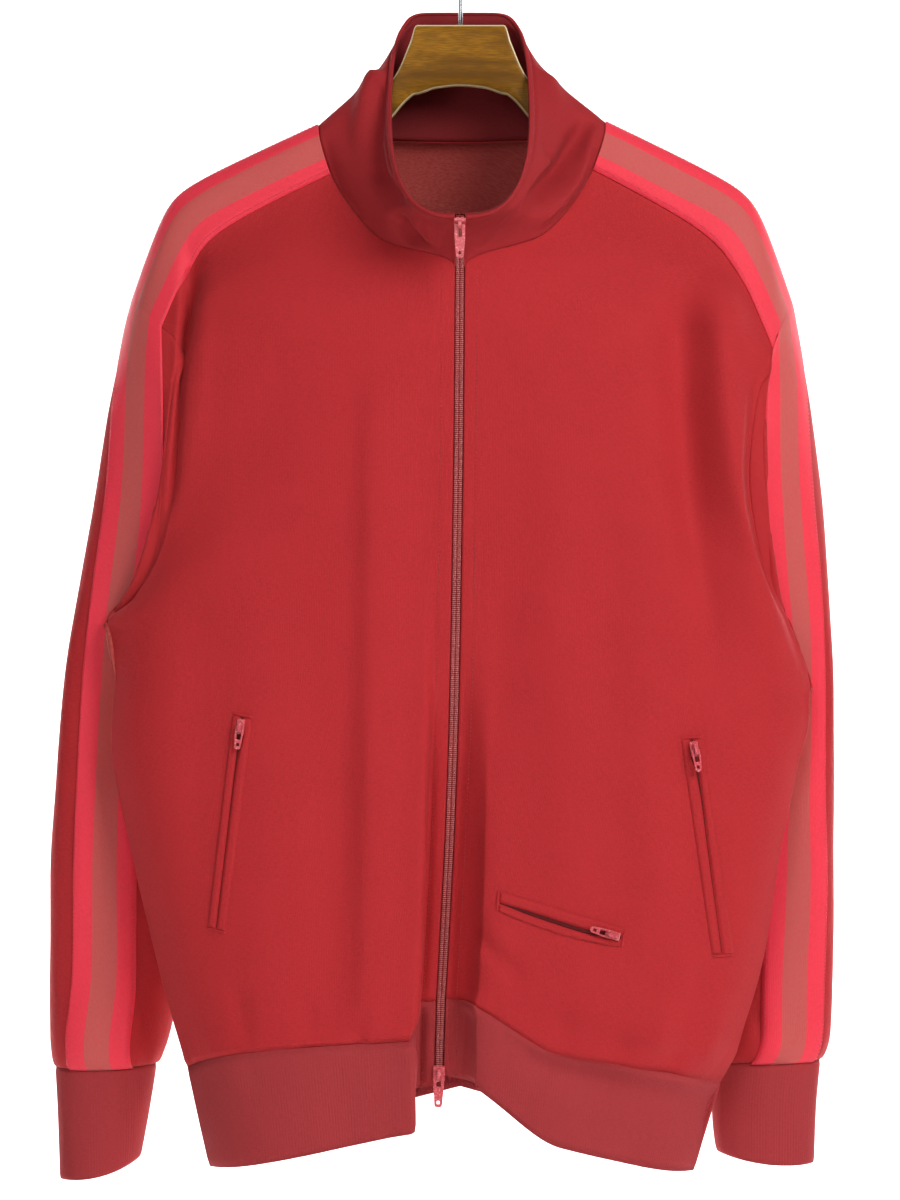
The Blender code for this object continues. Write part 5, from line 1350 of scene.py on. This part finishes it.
def seated(name, x, z):
    """Points and normals of a front over places (x, z), by barycentric weights in the triangle that holds each."""
    grid, _, turned = cloth[name]
    spots = np.stack([x.ravel(), z.ravel()], axis=1)
    faces = triangles(grid, False, turned)
    flat = grid.reshape(-1, 3)[:, [0, 2]]
    middle = flat[faces].mean(axis=1)
    first, last = spots.min(axis=0) - SEAT_MARGIN, spots.max(axis=0) + SEAT_MARGIN
    near = np.all((middle > first) & (middle < last), axis=1)
    faces = faces[near]
    a, b, c = (flat[faces[:, k]] for k in range(3))
    cross = lambda p, q: p[..., 0] * q[..., 1] - p[..., 1] * q[..., 0]
    area = cross(b - a, c - a)
    area = np.where(abs(area) < 1e-9, 1e-9, area)
    away = spots[:, None] - a[None]
    s, t = cross(away, (c - a)[None]) / area, cross((b - a)[None], away) / area
    outside = np.maximum(0, np.maximum(-np.minimum(s, t), s + t - 1))
    best = outside.argmin(axis=1)
    row = np.arange(len(spots))
    weights = np.stack([1 - s[row, best] - t[row, best], s[row, best], t[row, best]], axis=1)[..., None]
    held = faces[best]
    point = (grid.reshape(-1, 3)[held] * weights).sum(axis=1).reshape(*x.shape, 3)
    out = unit((normals[name].reshape(-1, 3)[held] * weights).sum(axis=1)).reshape(*x.shape, 3)
    return point, out


# %% Pocket tables
POCKETS = {
    # corners x, z from the slider's end round, the front, how far the first side bows out
    "side_left": (((-149.5, -542), (-136, -544.7), (-154.6, -688.8), (-166.5, -685.6)), "front_left", 0.0),
    "side_right": (((143.9, -558), (158.3, -558), (180.3, -704.4), (165.1, -704.2)), "front_right", 0.0),
    "small": (((106.6, -697), (109.1, -684.6), (23.6, -658.6), (22.3, -672.3)), "front_right", 3.3),
}
SLITS = {
    # place along, from the slider's end, then both edges of the slit as shares of the width
    "side_left": (
        *((0, 0.47, 0.5), (0.04, 0.42, 0.56), (0.09, 0.36, 0.64), (0.15, 0.43, 0.55), (0.25, 0.44, 0.5)),
        *((0.4, 0.445, 0.48), (1, 0.48, 0.5)),
    ),
    "side_right": (
        *((0, 0.5, 0.53), (0.04, 0.42, 0.6), (0.09, 0.36, 0.66), (0.17, 0.5, 0.61), (0.3, 0.54, 0.59)),
        *((0.5, 0.505, 0.535), (1, 0.465, 0.485)),
    ),
    "small": (
        *((0, 0.5, 0.56), (0.08, 0.4, 0.62), (0.16, 0.36, 0.6), (0.3, 0.33, 0.5), (0.6, 0.37, 0.52)),
        *((0.75, 0.38, 0.52), (0.9, 0.4, 0.47), (1, 0.4, 0.43)),
    ),
}
LIP, BAR, SUNK = 1.7, 1.3, -0.45  # heights over the front of the lips, the end bars and what is tucked in
LIP_STEPS = 13  # grid lines across one lip
END_LEVELS = (0, 0.4, 0.9, 1.4, 1.9, 2.4, 2.9, 3.6)  # mm from a welt's end, closer together over the bar
LONG_START, LONG_LEVELS = 4.6, 60  # where the even levels between them start, and how many there are
BAR_AT, BAR_WIDE, LIP_RISE = 1.4, 0.95, (1.9, 3.6)  # mm from the end: the bar, its half width, and where the lips rise
LIP_THICK, LINING_THICK, LINING_LIFT = 0.5, 0.15, 0.12


# %% Welts
def pocket_surface(kind):
    """Grids over a pocket: the welt with its lips, and the zip in its slit.

    Across, the lips are two arches, each 1 - |2t - 1| to the fourth power, between the frame's edge and the slit.
    Along, they sink at both ends between two bars, each a bell curve.
    """
    (first_a, first_b, last_b, last_a), front, bow = POCKETS[kind]
    first_a, first_b, last_b, last_a = (np.array(c, float) for c in (first_a, first_b, last_b, last_a))
    long = np.linalg.norm((last_a + last_b - first_a - first_b) / 2)
    s = np.concatenate([END_LEVELS, np.linspace(LONG_START, long - LONG_START, LONG_LEVELS)]) / long
    s = np.concatenate([s, 1 - s[len(END_LEVELS) - 1 :: -1]])
    table = np.array(SLITS[kind])
    knots = through(table[:, 1:], np.full(len(table) - 1, 8))
    places = through(table[:, :1], np.full(len(table) - 1, 8))[:, 0]
    low, high = (np.interp(s, places, knots[:, k])[:, None] for k in range(2))
    t = np.linspace(0, 1, LIP_STEPS)[None]
    share = np.concatenate([low * t, low + (high - low) * np.array([[0.25, 0.5, 0.75]]), high + (1 - high) * t], axis=1)
    arch = (1 - abs(2 * t - 1) ** 4) * np.ones_like(low)
    floor = np.zeros((len(s), 3))
    lips = SUNK + (LIP - SUNK) * np.concatenate([arch, floor, arch], axis=1)
    end = np.minimum(s, 1 - s)[:, None] * long
    lips = SUNK + (lips - SUNK) * ease(*LIP_RISE, end)
    bars = SUNK + (BAR - SUNK) * np.exp(-(((end - BAR_AT) / BAR_WIDE) ** 4)) * (1 - (2 * share - 1) ** 8)
    edge_a = first_a + (last_a - first_a) * s[:, None]
    edge_b = first_b + (last_b - first_b) * s[:, None]
    edge_a = edge_a + unit(edge_a - edge_b) * (4 * bow * s * (1 - s))[:, None]
    flat = edge_a[:, None] + (edge_b - edge_a)[:, None] * share[..., None]
    point, out = seated(front, flat[..., 0], flat[..., 1])
    welt = point + out * np.maximum(lips, bars)[..., None]
    slit = slice(6, -6), slice(LIP_STEPS - 1, LIP_STEPS + 4)
    lining = point[slit] + out[slit] * LINING_LIFT
    return welt, lining, point, out


STITCH_LIFT = 0.3
pocket_stitches = []
for kind, (_, front, _) in POCKETS.items():
    welt, lining, point, out = pocket_surface(kind)
    handed = np.cross(welt[0, -1] - welt[0, 0], welt[-1, 0] - welt[0, 0]) @ out[0, 0] < 0
    for piece, grid, thick, finish, slot, node in (
        ("lips_", welt, LIP_THICK, TRICOT, "tricot", "welt_"),
        ("zip_in_", lining, LINING_THICK, POCKET_ZIP_PAINTED_SHADE, "zip_cloth", "pocket_zip_"),
    ):
        cloth_piece(piece + kind, (grid, False, handed), thick, finish, finish, slot, node + kind)
    for column in (1, -2):
        row, up = point[4:-4, column], out[4:-4, column]
        pocket_stitches.append((row + up * STITCH_LIFT, up))
stitches("stitches_pockets", pocket_stitches, THREAD_RED, "tricot")


# %% [markdown]
# ## Wooden hanger and hook
# The hanger is turned and sanded wood under varnish: a wide flat neck that thins into two arms. Its section is a
# rounded oblong, carried from tip to tip along a table. The hook is a chromed wire bent over the rail.

# %% Hanger
HANGER_NECK = (
    # x    top   height thick
    (0, -84, 41, 12),
    (16, -84, 42.5, 12),
    (29, -84, 46.5, 12),
    (34, -96, 37, 12),
    (44, -118, 26, 12),
    (62, -134, 25, 12),
    (80, -149, 25, 12),
    (92, -154.4, 25, 12),
)
HANGER_ARM = ((104, 25, 11.5), (130, 24, 11.5), (160, 22, 11.5), (178, 19, 10), (187, 12, 7))
HANGER_UNDER_CLOTH = 2.8  # from the skin down to the wood, cloth included


CAP_RINGS = ((0.02, 1.0), (0.5, 0.86), (0.8, 0.6), (0.95, 0.28))  # width and place of each ring of a rounded end
CAP_LONG = 0.45  # share of the end's half width by which it stands out
OBLONG = 0.42  # power of the cosine and sine in the hanger's section
HANGER_STEPS, HANGER_SIDES = 6, 56  # rings between two rows of the tables, and points round each


def closed_tube(rings):
    """A grid closed round and at both ends: at each end rings shrink to a point at their middle."""
    caps = []
    for ring, inner in ((rings[0], rings[1]), (rings[-1], rings[-2])):
        middle = ring.mean(axis=0)
        step = unit((ring - inner).mean(axis=0)) * abs(ring - middle).max() * CAP_LONG
        caps.append([middle + (ring - middle) * wide + step * out for wide, out in CAP_RINGS])
    return np.concatenate([caps[0], rings, caps[1][::-1]])


def hanger_rings():
    """Rings of the hanger: y and z are powers of the cosine and sine, so the section is an oblong with round edges."""
    halves = {}
    for side, table in ((LEFT, FRONT_LEFT), (RIGHT, FRONT_RIGHT)):
        seam = bend_row(table[SHOULDER])
        out, height = abs(seam[:, 0]), seam[:, 2] - HANGER_UNDER_CLOTH
        arm = [(x, float(np.interp(x, out, height)), high, thick) for x, high, thick in HANGER_ARM]
        halves[side] = [(side * x, *sizes) for x, *sizes in (*HANGER_NECK, *arm)]
    knots = np.array(halves[LEFT][:0:-1] + halves[RIGHT])
    rows = through(knots, np.full(len(knots) - 1, HANGER_STEPS))
    turn = np.linspace(0, 2 * math.pi, HANGER_SIDES, endpoint=False)
    wide, tall = (np.sign(wave) * abs(wave) ** OBLONG / 2 for wave in (np.cos(turn), np.sin(turn)))
    x, top, high, thick = (rows[:, k, None] for k in range(4))
    return np.stack([x + 0 * turn, thick * wide, top - high / 2 + high * tall], axis=-1)


WOOD, WOOD_DARK, WOOD_LIGHT = (0.27, 0.15, 0.045), (0.16, 0.060, 0.002), (0.39, 0.165, 0.006)
WOOD_PORE, WOOD_WORN_AND_HIGHLIT = (0.12, 0.055, 0.008), (0.80, 0.66, 0.36)
PORES = 0.55  # how much of the pores' darkness shows
VARNISH = {"Coat Weight": 0.05, "Coat Roughness": 0.2, "Specular IOR Level": 0.1}


def wood_material():
    """Varnished wood: long rings along X from a stretched, bent wave, with darker pores, and edges painted paler:
    partly wear, partly a painted highlight.
    """
    made, tree, shader = plain_material("varnished wood", WOOD, 0.42, VARNISH)
    spot, lie = add(tree, "TexCoord", output="Object"), add(tree, "UVMap", uv_map="lie")
    bent = noise(tree, scaled(tree, spot, (9, 60, 60)), 1.4, 5.0, Distortion=0.8)
    pores = ramp(tree, noise(tree, scaled(tree, spot, (120, 1500, 1500)), 1.0), 0.4, 0.62)
    warm = mix(tree, ramp(tree, bent, 0.33, 0.68), WOOD_DARK, WOOD_LIGHT)
    colour = mix(tree, PORES, warm, mix(tree, pores, WOOD_PORE, warm))
    # edges painted paler within about a millimetre: partly wear, partly a painted highlight where the rounded edges
    # catch the light
    edge = ramp(tree, add(tree, "SeparateXYZ", {0: lie}), 0.0006, 0.0013, 1.0, 0.0)
    colour = mix(tree, edge, colour, WOOD_WORN_AND_HIGHLIT)
    set_inputs(tree, shader, {"Base Color": colour, "Normal": raised(tree, pores, 0.2)})
    return made


rings = hanger_rings()
tube = closed_tube(rings)
top, low = tube[..., 2].max(axis=1), tube[..., 2].min(axis=1)
centre = tube[..., 0].mean(axis=1)
flat = [1 / np.hypot(1, np.gradient(edge, centre))[:, None] for edge in (top, low)]
from_edge = np.minimum((top[:, None] - tube[..., 2]) * flat[0], (tube[..., 2] - low[:, None]) * flat[1])
from_edge = closing(from_edge)
wooden = grid_mesh("wooden_hanger", tube, True, False, (from_edge, from_edge))
place("wooden_hanger", wooden, "wood", "hanger", wood_material())
print(f"hanger: {np.ptp(rings[..., 0]):.0f} mm from tip to tip")

# %% Hook
HOOK_WIRE, HOOK_BEND = 1.5, 17.0  # radii
HOOK_STEM = ((0, 0, -84.5), (0, 0, -60), (1.2, 0, -52), (6.5, 0, -43), (13, 0, -34))
HOOK_TURN = (-30, 205)  # degrees, the bend's two ends


def tube_along(path, radius, sides=20):
    """Rings round a path in the x-z plane: centre + radius (cosine times the in-plane normal + sine times Y)."""
    tangent = unit(np.gradient(path, axis=0))
    side = np.stack([-tangent[:, 2], 0 * tangent[:, 0], tangent[:, 0]], axis=1)
    turn = np.linspace(0, 2 * math.pi, sides, endpoint=False)
    cosine, sine = np.cos(turn)[:, None], np.sin(turn)[:, None]
    return path[:, None] + radius * (cosine * side[:, None] + sine * np.array([0, 1, 0]))


def chrome_material():
    """Polished chrome with a slow unevenness in its gloss."""
    made, tree, shader = plain_material("chrome", (0.42, 0.42, 0.44), 0.16, {"Metallic": 1.0})
    uneven = noise(tree, add(tree, "TexCoord", output="Object"), 300.0)
    set_inputs(tree, shader, {"Roughness": ramp(tree, uneven, 0.3, 0.7, 0.08, 0.22)})
    return made


reach = HOOK_BEND + HOOK_WIRE  # from the bend's middle to the middle of the wire
stem = through(HOOK_STEM, (4, 6, 6, 6))
turns = np.radians(np.linspace(*HOOK_TURN, 60))
bend_line = np.stack([reach * np.cos(turns), 0 * turns, reach * np.sin(turns) - HOOK_BEND], axis=1)
wire = closed_tube(tube_along(np.concatenate([stem, bend_line]), HOOK_WIRE))
place("wire_hook", grid_mesh("wire_hook", wire, True, False), "wire", "hook", chrome_material())


# %% [markdown]
# ## Sliders and pulls
# These are die-cast metal, enamelled to match. Their solids already have the right shape, so they stay, and only
# get their finish: glossy coral enamel with faint orange peel, worn to a paler tone in specks.

# %% Enamel on the metal parts
CORAL, WORN = (0.62, 0.07, 0.09), (0.85, 0.3, 0.3)
ENAMEL_COAT = {"Coat Weight": 0.5, "Coat Roughness": 0.12}
WORN_SPECKS = {"Scale": 900.0, "Detail": 4.0, "Low": 0.52, "High": 0.7}
ENAMEL = specked_material("coral enamel", CORAL, 0.32, CORAL, WORN, WORN_SPECKS, ENAMEL_COAT, 0.12)
metal_parts = [node for name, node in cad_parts.items() if name.startswith(("slider_", "tab_"))]
for node in metal_parts:
    for slot in node.material_slots:
        slot.material = ENAMEL
print("enamelled:", len(metal_parts))
